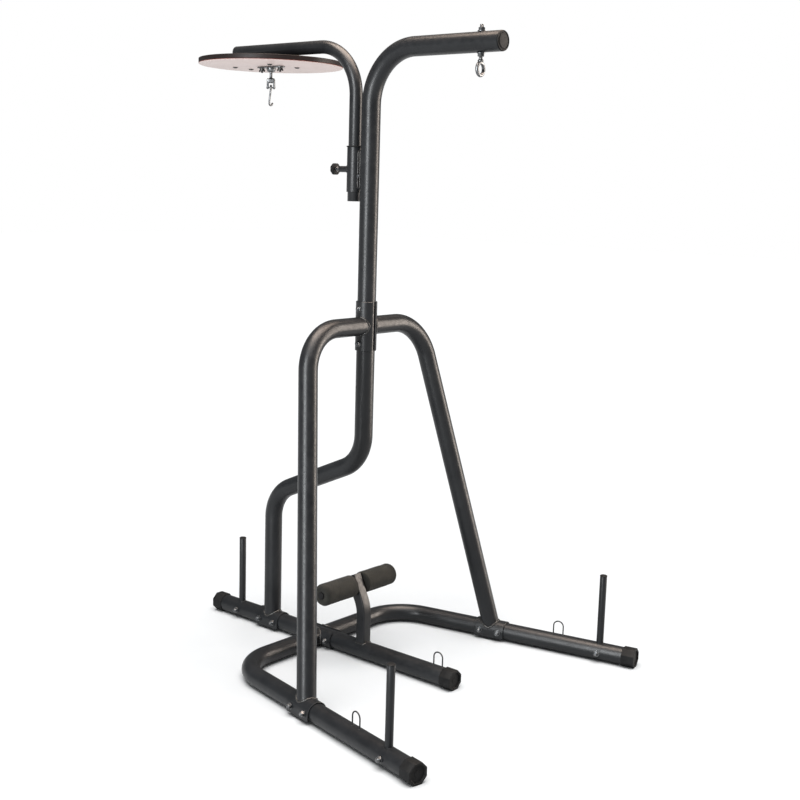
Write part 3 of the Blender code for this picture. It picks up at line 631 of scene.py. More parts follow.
def off_flat(angle, sides):
    """Angle from the middle of a regular polygon's nearest flat."""
    half = math.pi / sides
    return (angle + half) % (2 * half) - half


def hexagon(flats):
    """Reach of a hexagon; LOW_EDGE and TOP_EDGE are its edges, cut by a cone."""
    def shape(angle, radius, height):
        if radius > 0:
            return radius, height
        reach = flats / 2 / math.cos(off_flat(angle, 6))
        drop = (reach - flats / 2 * FACE_SHARE) * math.tan(CHAMFER)
        return reach, height - drop if radius == TOP_EDGE else height + drop
    return shape


def hex_block(shape, flats, start, height, bore, matrix):
    """A hexagon with both ends chamfered, and a hole through it."""
    face = flats / 2 * FACE_SHARE
    end = start + height
    ease = 0.0006
    profile = [(bore + ease, start), (face, start), (LOW_EDGE, start), (TOP_EDGE, end),
               (face, end), (bore + ease, end), (bore, end - ease), (bore, start + ease)]
    return shape.turn(profile, matrix, closed=True, shape=hexagon(flats))


def add_thread(shape, radius, start, end, matrix, pitch=0.0015, sides=28):
    """A real helical thread between two heights, with plain tapered ends."""
    per_turn = 6
    depth = 0.0007
    end_step = 0.0008
    count = max(4, round((end - start) / pitch * per_turn))
    rings = []
    for row in range(count + 1):
        height = start + (end - start) * row / count
        cut = depth * min(1.0, 0.25 + min(row, count - row) / per_turn)
        crest = radius - (end_step if row in (0, count) else 0)
        ring = []
        for column, (x, y) in enumerate(circle(1.0, sides)):
            phase = (row / per_turn - column / sides) % 1.0
            reach = crest - cut * abs(2 * phase - 1)
            ring.append(matrix @ Vector((reach * x, reach * y, height)))
        rings.append(ring)
    return shape.skin(rings)


def bolt(name, centre, nut_side, grip):
    """Hex bolt with two washers and a lock nut, which is on the given side."""
    matrix = local_frame(centre, nut_side)
    seat = grip / 2 + GAP
    nut = seat + WASHER_THICK
    shape = Shape()
    for start in (seat, -nut):
        shape.ring(0.0052, 0.0110, start, start + WASHER_THICK, matrix, 0.0004, sides=40)
    hex_block(shape, BOLT_FLATS, nut, NUT_HEIGHT, 0.0048, matrix)
    on_nut = matrix @ Matrix.Translation((0, 0, nut))
    collar = eased([(0.0052, 0.0068), (0.0078, 0.0066), (0.0074, 0.0092), (0.0061, 0.0095),
                    (0.0058, 0.0088)], 0.0007, 3, closed=True)
    shape.turn(collar, on_nut, 40, closed=True)
    insert = [(0.0050, 0.0070), (0.0060, 0.0070), (0.0060, 0.0089), (0.0050, 0.0086)]
    shape.turn(insert, on_nut, 40, 1, closed=True)
    add_thread(shape, BOLT_R, 0.0005, 0.0121, on_nut)
    face = BOLT_FLATS / 2 * FACE_SHARE
    head = [(0.0030, 0.0006 - BOLT_HEAD), (0.0045, -BOLT_HEAD), (face, -BOLT_HEAD),
            (LOW_EDGE, -BOLT_HEAD), (TOP_EDGE, 0), (face, 0)]
    under_head = matrix @ Matrix.Translation((0, 0, -nut))
    shape.turn(head, under_head, shape=hexagon(BOLT_FLATS))
    shape.turn([(0.0048, -nut), (0.0048, seat + 0.002)], matrix, 24)
    stand_in(name, shape, [ZINC, INSERT])


# ---------- base

CAP_FLATS = 0.067
CAP_LENGTH = 0.046
TUBE_IN_CAP = 0.012
SKIRT = 0.022
SHELL_EDGE = 0.0012
SADDLE_LENGTH = 0.118
# Half the distance between the two bolts of a saddle or shell.
SADDLE_BOLT = 0.0365
CROSS_BOLT = 0.054
# Length of a shell and the degrees that it spans.
CROSS_SHELL = (0.150, 124)
# The seams under the crossing stay above this height, clear of the floor.
CROSS_SEAM_LOW = 0.0052
# Coped tubes start this far from the axis of the bar that they meet.
LEG_START = 0.04
COPE_START = 0.05
PEG_R = 0.0127
PEG_DEPTH = 0.016
PEG_CAP = 0.0042
LOOP_WIDTH = 0.0420
LOOP_WIRE = 0.0024
LOOP_BEND = 0.0182


def octagon(flats):
    """Reach of an octagon with softened corners; negative radii are shares of it."""
    softened = 0.996

    def shape(angle, radius, height):
        if radius > 0:
            return radius, height
        reach = -radius * flats / 2
        corner = reach / math.cos(math.pi / 8) * softened
        return min(reach / math.cos(off_flat(angle, 8)), corner), height
    return shape


def end_cap(name, face, axis):
    """Octagonal shoe: eased edges, a collar at the tube, a recessed end."""
    profile = [(0.0323, 0.001 - CAP_LENGTH), (0.0329, -CAP_LENGTH), (-0.975, -CAP_LENGTH),
               (-0.992, 0.0007 - CAP_LENGTH), (-1.0, 0.002 - CAP_LENGTH), (-1.0, -0.0030),
               (-0.992, -0.0012), (-0.965, -0.0002), (-0.800, 0.0), (-0.775, -0.0010),
               (-0.760, -0.0046), (-0.735, -0.0052), (-0.30, -0.0054), (-0.28, -0.0046),
               (-0.10, -0.0044)]
    shape = Shape().turn(profile, local_frame(face, axis), 96, shape=octagon(CAP_FLATS))
    stand_in(name, shape, PLASTIC, sharp=25)


def saddle(name, centre, axis):
    """U over a tube of the base, with straight skirts."""
    outer = arc((0, 0), SADDLE_OUT, 0, math.pi, 48)
    inner = arc((0, 0), SADDLE_IN, math.pi, 0, 48)
    outline = [(SADDLE_OUT, -SKIRT)] + outer + [(-SADDLE_OUT, -SKIRT), (-SADDLE_IN, -SKIRT)]
    outline += inner + [(SADDLE_IN, -SKIRT)]
    shape = Shape().prism(outline, SADDLE_LENGTH, local_frame(centre, axis), edge=SHELL_EDGE)
    stand_in(name, shape, COAT)


def half_shell(name, matrix, length, span):
    """Clamp half: an arc of pipe that spans some degrees about local +X."""
    half = math.radians(span / 2)
    outline = arc((0, 0), SADDLE_OUT, -half, half, 48) + arc((0, 0), SADDLE_IN, half, -half, 48)
    stand_in(name, Shape().prism(outline, length, matrix, edge=SHELL_EDGE), COAT)


def dropped_circle(centre, radius, sides, bar):
    """A circle dropped from above on to a round bar."""
    return [meet(centre + Vector((x, y, 0.1)), -Z_AXIS, bar) for x, y in circle(radius, sides)]


def weight_peg(word, axis):
    """Coated peg in its hole, a pressed cap on its top and a bolt across it."""
    name = "weight_peg_" + word
    foot = Vector((middle(name).x, middle(name).y, TUBE_Z))
    matrix = Matrix.Translation(foot)
    top = high(name).z - foot.z
    rim = top - PEG_CAP
    body = Shape().ring(PEG_R - WALL, PEG_R, -PEG_DEPTH, rim, matrix, 0.0004)
    stand_in(name, body, COAT)
    cap = eased([(0.0002, top - 0.018), (0.0104, top - 0.018), (0.0104, rim), (0.0131, rim),
                 (0.0131, top - 0.0016), (0.0105, top), (0.0002, top + 0.0004)], 0.0009, 3)
    piece(name + "_cap", Shape().turn(cap, matrix), PLASTIC)
    hole = dropped_circle(foot, PEG_R + 0.0006, 96, (foot, axis, TUBE_R))
    piece(name + "_rim", add_bead(Shape(), hole, 0.0009, ripple=0.002), COAT, sharp=80)
    bolt(name + "_bolt", foot, axis.cross(Z_AXIS), 2 * TUBE_R)


def band_loop(word, axis):
    """Wire staple with dressed weld nubs at both of its feet."""
    name = "band_loop_" + word
    foot = Vector((middle(name).x, middle(name).y, TUBE_Z))
    start = foot + Z_AXIS * (TUBE_R - 0.0008)
    side = axis * (LOOP_WIDTH / 2 - LOOP_WIRE)
    rise = Z_AXIS * (high(name).z - LOOP_WIRE - start.z)
    path = bent_path([start - side, start - side + rise, start + side + rise, start + side],
                     LOOP_BEND, math.radians(7))
    wire = [ring_at(station, circle(LOOP_WIRE, 16)) for station in stations(path)]
    stand_in(name, Shape().skin(wire), COAT)
    nubs = Shape()
    for sign in (-1, 1):
        edge = dropped_circle(foot + side * sign, LOOP_WIRE + 0.0007, 40, (foot, axis, TUBE_R))
        add_bead(nubs, edge, 0.0013, spacing=0.0006, ripple=0.0016)
    piece(name + "_welds", nubs, WELD, sharp=80)


def base_side(side, word):
    """One leg with its weld, saddle, bolts, peg, loop, end cap and clamp shell."""
    axis = leg_axis(side)
    crossing = on_plane(CROSS_X, TUBE_Z)
    crossbar = (crossing, X_AXIS, SADDLE_OUT)
    path = bent_path([(CROSS_X, side * LEG_START, TUBE_Z), leg_point(side, 0),
                      leg_point(side, LEG_LENGTH - TUBE_IN_CAP)], CORNER_BEND)
    round_pipe("base_leg_" + word, path, TUBE_R, cope_start=crossbar)
    seam = coped_edge(path, TUBE_R, crossbar)
    weld("cross_weld_" + word, [Vector((p.x, p.y, max(p.z, CROSS_SEAM_LOW))) for p in seam])
    foot = leg_point(side, A_FOOT_ALONG)
    saddle("a_foot_saddle_" + word, foot, axis)
    for end, sign in (("rear", -1), ("front", 1)):
        bolt("a_foot_bolt_" + word + "_" + end, foot + axis * sign * SADDLE_BOLT,
             axis.cross(Z_AXIS), 2 * SADDLE_OUT)
    weight_peg(word, axis)
    band_loop(word, axis)
    end_cap("end_cap_" + word, leg_point(side, LEG_LENGTH), axis)
    half_shell("cross_saddle_" + word, local_frame(crossing, X_AXIS, Z_AXIS * side), *CROSS_SHELL)


def base():
    """Both legs, then the centre tube with what it carries."""
    for side, word in SIDES:
        base_side(side, word)
    rear = on_plane(low("end_cap_rear").x, TUBE_Z)
    front = on_plane(high("end_cap_centre").x, TUBE_Z)
    cover = X_AXIS * TUBE_IN_CAP
    round_pipe("centre_tube", [rear + cover, front - cover], TUBE_R)
    end_cap("end_cap_rear", rear, -X_AXIS)
    end_cap("end_cap_centre", front, X_AXIS)
    weight_peg("rear", X_AXIS)
    band_loop("centre", X_AXIS)
    saddle("post_foot_saddle", on_plane(POST_FOOT_X, TUBE_Z), X_AXIS)
    for group, x, spread in (("post_foot_bolt_", POST_FOOT_X, SADDLE_BOLT),
                             ("cross_bolt_", CROSS_X, CROSS_BOLT)):
        for end, sign in (("rear", -1), ("front", 1)):
            bolt(group + end, on_plane(x + sign * spread, TUBE_Z), -Y_AXIS, 2 * SADDLE_OUT)


# ---------- uprights

FOOT_WELD = 0.0038
# An A-frame leg's path ends this share of the way from its foot to its top.
A_LEG_END = 0.06
CLAMP_SHELL = (0.168, 156)
CLAMP_BOLT = 0.059
EYE_R = 0.0190
EYE_WIRE = 0.0057
EYE_SHANK = 0.0060
EYE_TURN = math.radians(5)


def post():
    """Lower post with its S-bend and foot weld, and the upper post with the arm."""
    foot_bar = (on_plane(POST_FOOT_X, TUBE_Z), X_AXIS, SADDLE_OUT)
    lower = bent_path([(POST_FOOT_X, 0, TUBE_Z + COPE_START), (POST_FOOT_X, 0, S_BEND_LOW_Z),
                       (POST_X, 0, S_BEND_HIGH_Z), (POST_X, 0, JOINT_Z - GAP)], POST_BEND)
    round_pipe("lower_post", lower, TUBE_R, cope_start=foot_bar)
    weld("post_foot_weld", coped_edge(lower, TUBE_R, foot_bar), FOOT_WELD)
    upper = bent_path([(POST_X, 0, JOINT_Z + GAP), (POST_X, 0, ARM_Z), (ARM_END_X, 0, ARM_Z)],
                      ARM_BEND)
    round_pipe("upper_post_arm", upper, TUBE_R, hides=["post_link_tube"])


def a_frame():
    """A-frame legs with their welds, and the clamp that holds them to the post."""
    joint = on_plane(POST_X, JOINT_Z)
    post_bar = (joint, Z_AXIS, SADDLE_OUT)
    for side, word in SIDES:
        foot = leg_point(side, A_FOOT_ALONG)
        foot_bar = (foot, leg_axis(side), SADDLE_OUT)
        top = Vector((POST_X, side * A_TOP_HALF, JOINT_Z))
        path = bent_path([(POST_X, side * COPE_START, JOINT_Z), top,
                          foot + (top - foot) * A_LEG_END], A_BEND)
        round_pipe("a_leg_" + word, path, TUBE_R, cope_start=post_bar, cope_end=foot_bar)
        weld("a_top_weld_" + word, coped_edge(path, TUBE_R, post_bar))
        weld("a_foot_weld_" + word, coped_edge(path, TUBE_R, foot_bar, False), FOOT_WELD)
        turn = Matrix.Rotation(side * math.pi / 2, 4, "Z")
        half_shell("clamp_half_" + word, Matrix.Translation(joint) @ turn, *CLAMP_SHELL)
    for end, sign in (("low", -1), ("high", 1)):
        bolt("clamp_bolt_" + end, joint + Z_AXIS * sign * CLAMP_BOLT, -Y_AXIS, 2 * SADDLE_OUT)


def eye_bolt():
    """Forged eye with its shoulder and thread, and a nut on each side of the arm."""
    x = middle("eye_nut_top").x
    eye_z = low("eye_bolt").z + EYE_R + EYE_WIRE
    matrix = facing(x, eye_z, Matrix.Rotation(EYE_TURN, 3, "Z") @ X_AXIS)
    path = [matrix @ Vector((a, b, 0)) for a, b in circle(EYE_R, 72)]
    wire = [ring_at(station, circle(EYE_WIRE, 20)) for station in stations(path, True)]
    shape = Shape().skin(wire, closed=True)
    collar = eased([(0.0045, 0.0165), (0.0066, 0.0210), (0.0095, 0.0232), (0.0095, 0.0262),
                    (0.0066, 0.0290), (EYE_SHANK, 0.0300), (EYE_SHANK, 0.0330)], 0.0012, 3)
    up = upright(x, eye_z)
    shape.turn(collar, up, 40)
    add_thread(shape, EYE_SHANK, 0.0320, high("eye_bolt").z - eye_z, up, 0.00175, sides=32)
    stand_in("eye_bolt", shape, ZINC)
    washer_thick = 0.0020
    for word, sign in (("top", 1), ("low", -1)):
        seat = on_plane(x, ARM_Z + sign * (TUBE_R + GAP))
        place = local_frame(seat, Z_AXIS * sign, X_AXIS)
        nut = Shape().ring(0.0064, 0.0130, 0.0, washer_thick, place, 0.0004, sides=40)
        hex_block(nut, 0.019, washer_thick, 0.0095, 0.0061, place)
        stand_in("eye_nut_" + word, nut, ZINC)


def arm_plug():
    """Grooved plug in the open end of the heavy-bag arm."""
    profile = eased([(0.0003, 0.0042), (0.0215, 0.0042), (0.0238, 0.0018), (0.0272, 0.0018),
                     (0.0284, 0.0042), (0.0308, 0.0036), (0.0312, GAP), (0.0293, GAP),
                     (0.0293, -0.018), (0.0003, -0.018)], 0.0011, 3)
    shape = Shape().turn(profile, facing(ARM_END_X, ARM_Z, X_AXIS), 64)
    stand_in("arm_end_plug", shape, PLASTIC)


# ---------- speed-bag arm

SLEEVE_BORE = 0.0234
SLEEVE_MID_Z = (SLEEVE_LOW_Z + SLEEVE_HIGH_Z) / 2
WEB_START = SLEEVE_X + SLEEVE_R - 0.0020
WEB_END = POST_X - TUBE_R - GAP
WEB_HALF_THICK = 0.010
WEB_HEIGHT = SLEEVE_HIGH_Z - SLEEVE_LOW_Z - 0.020
KNOB_R = 0.0200
KNOB_DEPTH = 0.0145
KNOB_LOBES = 8
LOBE_DEPTH = 0.0020
SET_SCREW = Vector((SLEEVE_X + 0.028, -0.0125, 1.6905))


def sleeve():
    """Sleeve with its web and the barrel of the lock, and the barrel's weld."""
    shape = Shape().ring(SLEEVE_BORE, SLEEVE_R, SLEEVE_LOW_Z, SLEEVE_HIGH_Z,
                         upright(SLEEVE_X), 0.0008, 3, 64)
    web = rectangle((WEB_END - WEB_START) / 2, WEB_HALF_THICK)
    shape.prism(web, WEB_HEIGHT, upright((WEB_START + WEB_END) / 2, SLEEVE_MID_Z), edge=0.0008)
    barrel = eased([(0.0056, 0.040), (0.0098, 0.040), (0.0105, 0.0375), (0.0105, 0.0085),
                    (0.0128, 0.0070), (0.0128, -0.003), (0.0056, -0.003)], 0.0012, 3, closed=True)
    at = facing(SLEEVE_X - SLEEVE_R, LOCK_Z, -X_AXIS)
    shape.turn(barrel, at, 40, closed=True)
    stand_in("arm_sleeve", shape, COAT)
    bar = (on_plane(SLEEVE_X, 0), Z_AXIS, SLEEVE_R)
    rim = [meet(at @ Vector((a, b, 0.03)), X_AXIS, bar) for a, b in circle(0.0130, 64)]
    weld("lock_weld", rim, 0.0017)


def sleeve_welds():
    """Four upright beads along the web, each wandering a little."""
    beads = Shape()
    low_z = SLEEVE_MID_Z - WEB_HEIGHT / 2 + 0.002
    high_z = SLEEVE_MID_Z + WEB_HEIGHT / 2 - 0.002
    steps = 40
    for side in (-1, 1):
        for x, y in ((WEB_START + 0.002, 0.0120), (WEB_END - 0.002, 0.0115)):
            path = []
            for step in range(steps + 1):
                z = low_z + (high_z - low_z) * step / steps
                wander = 0.0008 * noise.noise(Vector((z * 90, side * 3, x * 40)))
                path.append(Vector((x, side * (y + wander), z)))
            add_bead(beads, path, 0.0030, closed=False)
    piece("sleeve_welds", beads, WELD, sharp=80)


def set_screw():
    """Small hex nut and screw on the side of the web."""
    place = local_frame(SET_SCREW, -Y_AXIS)
    nub = hex_block(Shape(), 0.009, 0.0, 0.0036, 0.0024, place)
    add_thread(nub, 0.0026, -0.004, 0.0050, place, 0.0010)
    piece("sleeve_set_screw", nub, ZINC)


def lobed(angle, radius, height):
    """Reach of the knob's fluted rim, which has a negative radius."""
    if radius > 0:
        return radius, height
    swell = abs(math.sin(KNOB_LOBES / 2 * angle)) ** 0.7
    return -radius - LOBE_DEPTH * (1 - swell), height


def lock():
    """Fluted knob with a dished face on its screw."""
    outer = low("lock_knob").x
    at = facing(outer, LOCK_Z, -X_AXIS)
    profile = [(0.0060, -KNOB_DEPTH), (0.0130, -0.0142), (0.0018 - KNOB_R, -0.0140),
               (0.0005 - KNOB_R, -0.0132), (-KNOB_R, -0.0116), (-KNOB_R, -0.0026),
               (0.0005 - KNOB_R, -0.0011), (0.0018 - KNOB_R, -0.0002), (0.0150, 0.0),
               (0.0140, -0.0006), (0.0128, -0.0018), (0.0050, -0.0020), (0.0040, -0.0012),
               (0.0006, -0.0010)]
    knob = Shape().turn(profile, at, 128, shape=lobed)
    tip = high("lock_knob").x - outer
    screw = eased([(0.0078, -KNOB_DEPTH), (0.0078, -0.0175), (0.0050, -0.0180), (0.0050, -tip)],
                  0.0006, 2)
    knob.turn(screw, at, 32, 1)
    stand_in("lock_knob", knob, [PLASTIC, ZINC], "lock_screw", sharp=30)


def speed_arm():
    """Bent arm in the sleeve, its end plug and the collar ring it slides in."""
    path = bent_path([(SLEEVE_X, 0, SPEED_LOW_Z), (SLEEVE_X, 0, SPEED_Z),
                      (SPEED_END_X, 0, SPEED_Z)], SPEED_BEND)
    round_pipe("speed_arm", path, SPEED_R, body="speed_arm")
    plug = eased([(0.0003, 0.0034), (0.0165, 0.0034), (0.0205, 0.0018), (0.0214, GAP),
                  (0.0196, GAP), (0.0196, -0.016), (0.0003, -0.016)], 0.0012, 3)
    shape = Shape().turn(plug, facing(SPEED_END_X, SPEED_Z, -X_AXIS), 64)
    stand_in("speed_arm_plug", shape, PLASTIC, "speed_arm")
    ring = Shape().ring(0.0230, BUSHING_R, GAP, 0.0040, upright(SLEEVE_X, SLEEVE_HIGH_Z),
                        0.0008, 3, 64)
    stand_in("arm_bushing", ring, PLASTIC, "arm_bushing")


# ---------- platform

FACE_THICK = 0.0012
LINE_TOP = 0.0032
# The turned layers start this far from their axis.
BOARD_CENTRE = 0.0005
BOARD_SCREWS = ((-0.144, -0.039), (-0.144, 0.039), (0.062, -0.067), (0.062, 0.067))
STUD_BELOW = 0.016
HUB_HALF = 0.0045
# An outline stands in the XZ plane with the first of these, in the YZ plane with the other.
ON_EDGE = Matrix(((1, 0, 0, 0), (0, 0, -1, 0), (0, 1, 0, 0), (0, 0, 0, 1)))
ON_SIDE = Matrix(((0, 0, 1, 0), (1, 0, 0, 0), (0, 1, 0, 0), (0, 0, 0, 1)))
PIN_Z = -0.0685
PIN_HALF = 0.0145
TONGUE_R = 0.0069
TONGUE_THICK = 0.0063
TONGUE_X = 0.0112
TONGUE_TOP = -0.0490
RIVET_X = 0.0144
BRIDGE_Z = -0.0446
BRIDGE_HEIGHT = 0.0165


def disc(name, corners, ease, steps, material, stands_for=()):
    """One layer of the board, turned from its section."""
    profile = eased(corners, ease, steps)
    for end in (0, -1):
        profile[end] = (BOARD_CENTRE, profile[end][1])
    shape = Shape().turn(profile, upright(BOARD.x), 160)
    piece(name, shape, material, "speed_arm", stands_for)


def board():
    """Laminated board: pale face, thin line and dark core, with four screws."""
    face_top = BOARD_LOW_Z + FACE_THICK
    line_top = BOARD_LOW_Z + LINE_TOP
    core_top = BOARD_HIGH_Z - 0.0001
    disc("board_face", [(0.0, BOARD_LOW_Z), (BOARD_R - 0.0012, BOARD_LOW_Z),
                        (BOARD_R - 0.0004, face_top), (0.0, face_top)],
         0.0004, 2, FACE, ["platform_board"])
    disc("board_core", [(0.0, line_top), (BOARD_R, line_top), (BOARD_R, core_top),
                        (0.0, core_top)], 0.0018, 4, EDGE)
    line = eased([(BOARD_R - 0.012, face_top), (BOARD_R - 0.0003, face_top),
                  (BOARD_R, line_top), (BOARD_R - 0.012, line_top)], 0.0002, 2, closed=True)
    shape = Shape().turn(line, upright(BOARD.x), 160, closed=True)
    piece("board_line", shape, CORE, "speed_arm")
    dome = eased([(0.0030, 0.0005), (0.0092, 0.0005), (0.0092, -0.0014), (0.0066, -0.0036),
                  (0.0034, -0.0042), (0.0028, -0.0030), (0.0004, -0.0028)], 0.0012, 3)
    for number, (x, y) in enumerate(BOARD_SCREWS):
        place = Matrix.Translation((BOARD.x + x, y, BOARD_LOW_Z))
        piece("board_screw_%d" % number, Shape().turn(dome, place, 32), STEEL, "speed_arm")


def bracket():
    """Plate between arm and board, with a bead along each side of the arm."""
    lowest = low("platform_plate")
    highest = high("platform_plate")
    half_x = (highest.x - lowest.x) / 2
    flat = eased(rectangle(half_x, highest.y), 0.006, 5, closed=True)
    at = upright(BOARD.x, (highest.z + lowest.z) / 2)
    stand_in("platform_plate", Shape().prism(flat, highest.z - lowest.z, at, edge=0.0007),
             COAT, "speed_arm")
    beads = Shape()
    reach = half_x - 0.006
    steps = 60
    for side in (-1, 1):
        path = [Vector((BOARD.x - reach + 2 * reach * step / steps, side * 0.0085,
                        highest.z + 0.0010)) for step in range(steps + 1)]
        add_bead(beads, path, 0.0028, closed=False)
    piece("platform_welds", beads, WELD, "speed_arm", sharp=80)


def wing_nut(name):
    """Wing nut with its hub and two ears on a stud, and the stud's domed head."""
    bottom = low(name).z
    top = high(name).z
    hub_z = bottom + STUD_BELOW - GAP - HUB_HALF
    at = upright(middle(name).x, hub_z)
    hub = eased([(0.0042, HUB_HALF), (0.0090, HUB_HALF), (0.0086, 0.0030),
                 (0.0074, -HUB_HALF), (0.0042, -HUB_HALF)], 0.0010, 3, closed=True)
    shape = Shape().turn(hub, at, 40, closed=True)
    ear = eased([(0.0045, 0.0035), (0.0088, 0.0026), (0.0128, -0.0002), (0.0150, -0.0038),
                 (0.0147, -0.0070), (0.0125, -0.0086), (0.0100, -0.0078), (0.0086, -0.0052),
                 (0.0066, -0.0034), (0.0045, -0.0032)], 0.0016, 3, closed=True)
    for outline in (ear[::-1], [(-x, z) for x, z in ear]):
        shape.prism(outline, 0.0036, at @ ON_EDGE, edge=0.0008)
    add_thread(shape, 0.0040, bottom - hub_z, hub_z - bottom, at, 0.00125)
    stand_in(name, shape, STEEL, "speed_arm")
    rise = top - hub_z
    dome = eased([(0.0003, rise), (0.0040, rise), (0.0078, rise - 0.0012),
                  (0.0085, rise - 0.0030), (0.0003, rise - 0.0030)], 0.001, 3)
    piece(name + "_head", Shape().turn(dome, at, 32), ZINC, "speed_arm")


def swivel_plate(plate_top):
    """Plate with round ends under the board, and the cup below it."""
    spread = 0.046
    thick = 0.004
    ends = arc((spread, 0), 0.017, -math.pi / 2, math.pi / 2, 24)
    ends += arc((-spread, 0), 0.017, math.pi / 2, 3 * math.pi / 2, 24)
    shape = Shape().prism(ends, thick, upright(BOARD.x, plate_top - thick / 2), edge=0.0006)
    at = upright(BOARD.x, plate_top - thick)
    cup = eased([(0.0112, 0.001), (0.0160, 0.001), (0.0162, -0.0055), (0.0130, -0.0130),
                 (0.0085, -0.0160), (0.0058, -0.0160), (0.0058, -0.0122), (0.0112, -0.0092)],
                0.0009, 3, closed=True)
    shape.turn(cup, at, 64, closed=True)
    stand_in("swivel_plate", shape, ZINC, "speed_arm")
    return at


def swivel_fork(turn):
    """Stem, bridge and two tongues, with a pin across them and its rivets."""
    stem = eased([(0.0095, -0.0070), (0.0090, -0.0078), (0.0050, -0.0115), (0.0050, -0.0340),
                  (0.0080, -0.0372)], 0.0012, 4)
    fork = Shape().turn(stem, turn, 40)
    bridge = eased(rectangle(0.0145, 0.007), 0.0045, 6, closed=True)
    fork.prism(bridge, BRIDGE_HEIGHT, turn @ upright(0, BRIDGE_Z), edge=0.0030)
    tongue = arc((0, PIN_Z + 0.0015), TONGUE_R, math.pi, 2 * math.pi, 20)
    tongue += [(TONGUE_R, TONGUE_TOP), (-TONGUE_R, TONGUE_TOP)]
    rivet = eased([(0.0002, 0.0016), (0.0026, 0.0016), (0.0042, 0.0002), (0.0042, -0.0006),
                   (0.0002, -0.0006)], 0.0008, 3)
    for sign in (-1, 1):
        fork.prism(tongue, TONGUE_THICK, turn @ upright(sign * TONGUE_X) @ ON_SIDE, edge=0.0012)
        outwards = Matrix.Rotation(sign * math.pi / 2, 4, "Y")
        fork.turn(rivet, turn @ upright(sign * RIVET_X, PIN_Z) @ outwards, 24)
    across = turn @ upright(0, PIN_Z) @ Matrix.Rotation(math.pi / 2, 4, "Y")
    fork.turn([(0.0024, -PIN_HALF), (0.0024, PIN_HALF)], across, 20)
    stand_in("swivel_fork", fork, ZINC, "swivel")


def hook(place):
    """S-hook of round wire with blunt rounded ends and a twist in its shank."""
    radius = 0.0034
    bend = 0.0085
    spacing = 0.0012
    twist = math.radians(35)
    eye_bend = 0.0068
    drop = place.translation.z - low("speed_bag_hook").z - bend - radius
    eye = arc((0, 0), eye_bend, math.radians(-60), math.radians(230), 48)
    lower = arc((0, -drop), bend, math.radians(165), math.radians(370), 48)
    path = [place @ Vector((0, y, z)) for y, z in eye]
    path += [place @ Vector((y * math.sin(twist), y * math.cos(twist), z)) for y, z in lower]
    path = resampled(path, spacing, closed=False)
    rings = []
    for number, station in enumerate(stations(path)):
        from_end = min(number, len(path) - 1 - number) * spacing
        blunt = math.sqrt(max(0.05, 1 - (1 - min(1.0, from_end / radius)) ** 2))
        rings.append(ring_at(station, circle(radius * blunt, 18)))
    stand_in("speed_bag_hook", Shape().skin(rings), ZINC, "hook")


def platform():
    """Board with its bracket and wing nuts, and the swivel with fork and hook."""
    board()
    bracket()
    for word in ("rear", "front"):
        wing_nut("wing_nut_" + word)
    at = swivel_plate(BOARD_LOW_Z - GAP)
    turn = at @ Matrix.Rotation(SWIVEL_TURN, 4, "Z")
    swivel_fork(turn)
    hook(turn @ upright(0, PIN_Z))


# ---------- foam roller

STRUT_WIDTH = 0.038
STRUT_CORNER = 0.004
KNEE_Z = 0.190
STRUT_TOP_Z = 0.296
KNEE_BEND = 0.120
AXLE_FLANGE = 0.0125
FOAM_BORE = 0.0106
FOAM_MOUTH = 0.0125
INNER_EASE = 0.006
OUTER_EASE = 0.013


def rounded_square(size, radius, steps=8):
    half = size / 2 - radius
    points = []
    for number, centre in enumerate(rectangle(half, half)):
        start = math.pi + number * math.pi / 2
        points += arc(centre, radius, start, start + math.pi / 2, steps)
    return points


def strut(axle):
    """Bent square strut with its foot weld and top cap."""
    x = high("roller_strut").x - STRUT_WIDTH / 2
    lean = (axle.z - KNEE_Z) / (STRUT_TOP_Z - KNEE_Z)
    top = on_plane(x - (x - axle.x) / lean, STRUT_TOP_Z)
    path = bent_path([(x, 0, TUBE_Z + COPE_START), (x, 0, KNEE_Z), top], KNEE_BEND)
    bar = (on_plane(x, TUBE_Z), X_AXIS, TUBE_R)
    inner = rounded_square(STRUT_WIDTH - 2 * WALL, STRUT_CORNER - WALL)
    pipe("roller_strut", path, rounded_square(STRUT_WIDTH, STRUT_CORNER), inner, cope_start=bar)
    first, *_, last = stations(path)
    foot = ring_at(first, rounded_square(STRUT_WIDTH, STRUT_CORNER, 12))
    weld("roller_weld", [meet(p, -first[1], bar) for p in foot], 0.0032)
    rings = []
    for size, shift in ((0.0335, -0.012), (0.0335, -0.0010), (0.0374, -0.0008), (0.0380, 0.0),
                        (0.0374, 0.0012), (0.0350, 0.0018)):
        spot = (last[0] + last[1] * shift, *last[1:])
        rings.append(ring_at(spot, rounded_square(size, STRUT_CORNER)))
    piece("roller_strut_cap", Shape().skin(rings), COAT)


def roller():
    """Strut, then the axle with a flange at each end, and the two rolls."""
    axle = middle("roller_axle")
    strut(axle)
    reach = high("roller_axle").y
    flange = reach - 0.003
    section = eased([(0.0088, -reach), (AXLE_FLANGE, -reach), (AXLE_FLANGE, -flange),
                     (0.0100, -flange), (0.0100, flange), (AXLE_FLANGE, flange),
                     (AXLE_FLANGE, reach), (0.0088, reach)], 0.0006, 2)
    stand_in("roller_axle", Shape().turn(section, local_frame(axle, Y_AXIS, X_AXIS)), PLASTIC)
    for side, word in SIDES:
        foam_roll(side, word, axle)


def run(first, last, steps):
    """Points in even steps from first to last, without the first."""
    return [tuple(a + (b - a) * step / steps for a, b in zip(first, last))
            for step in range(1, steps + 1)]


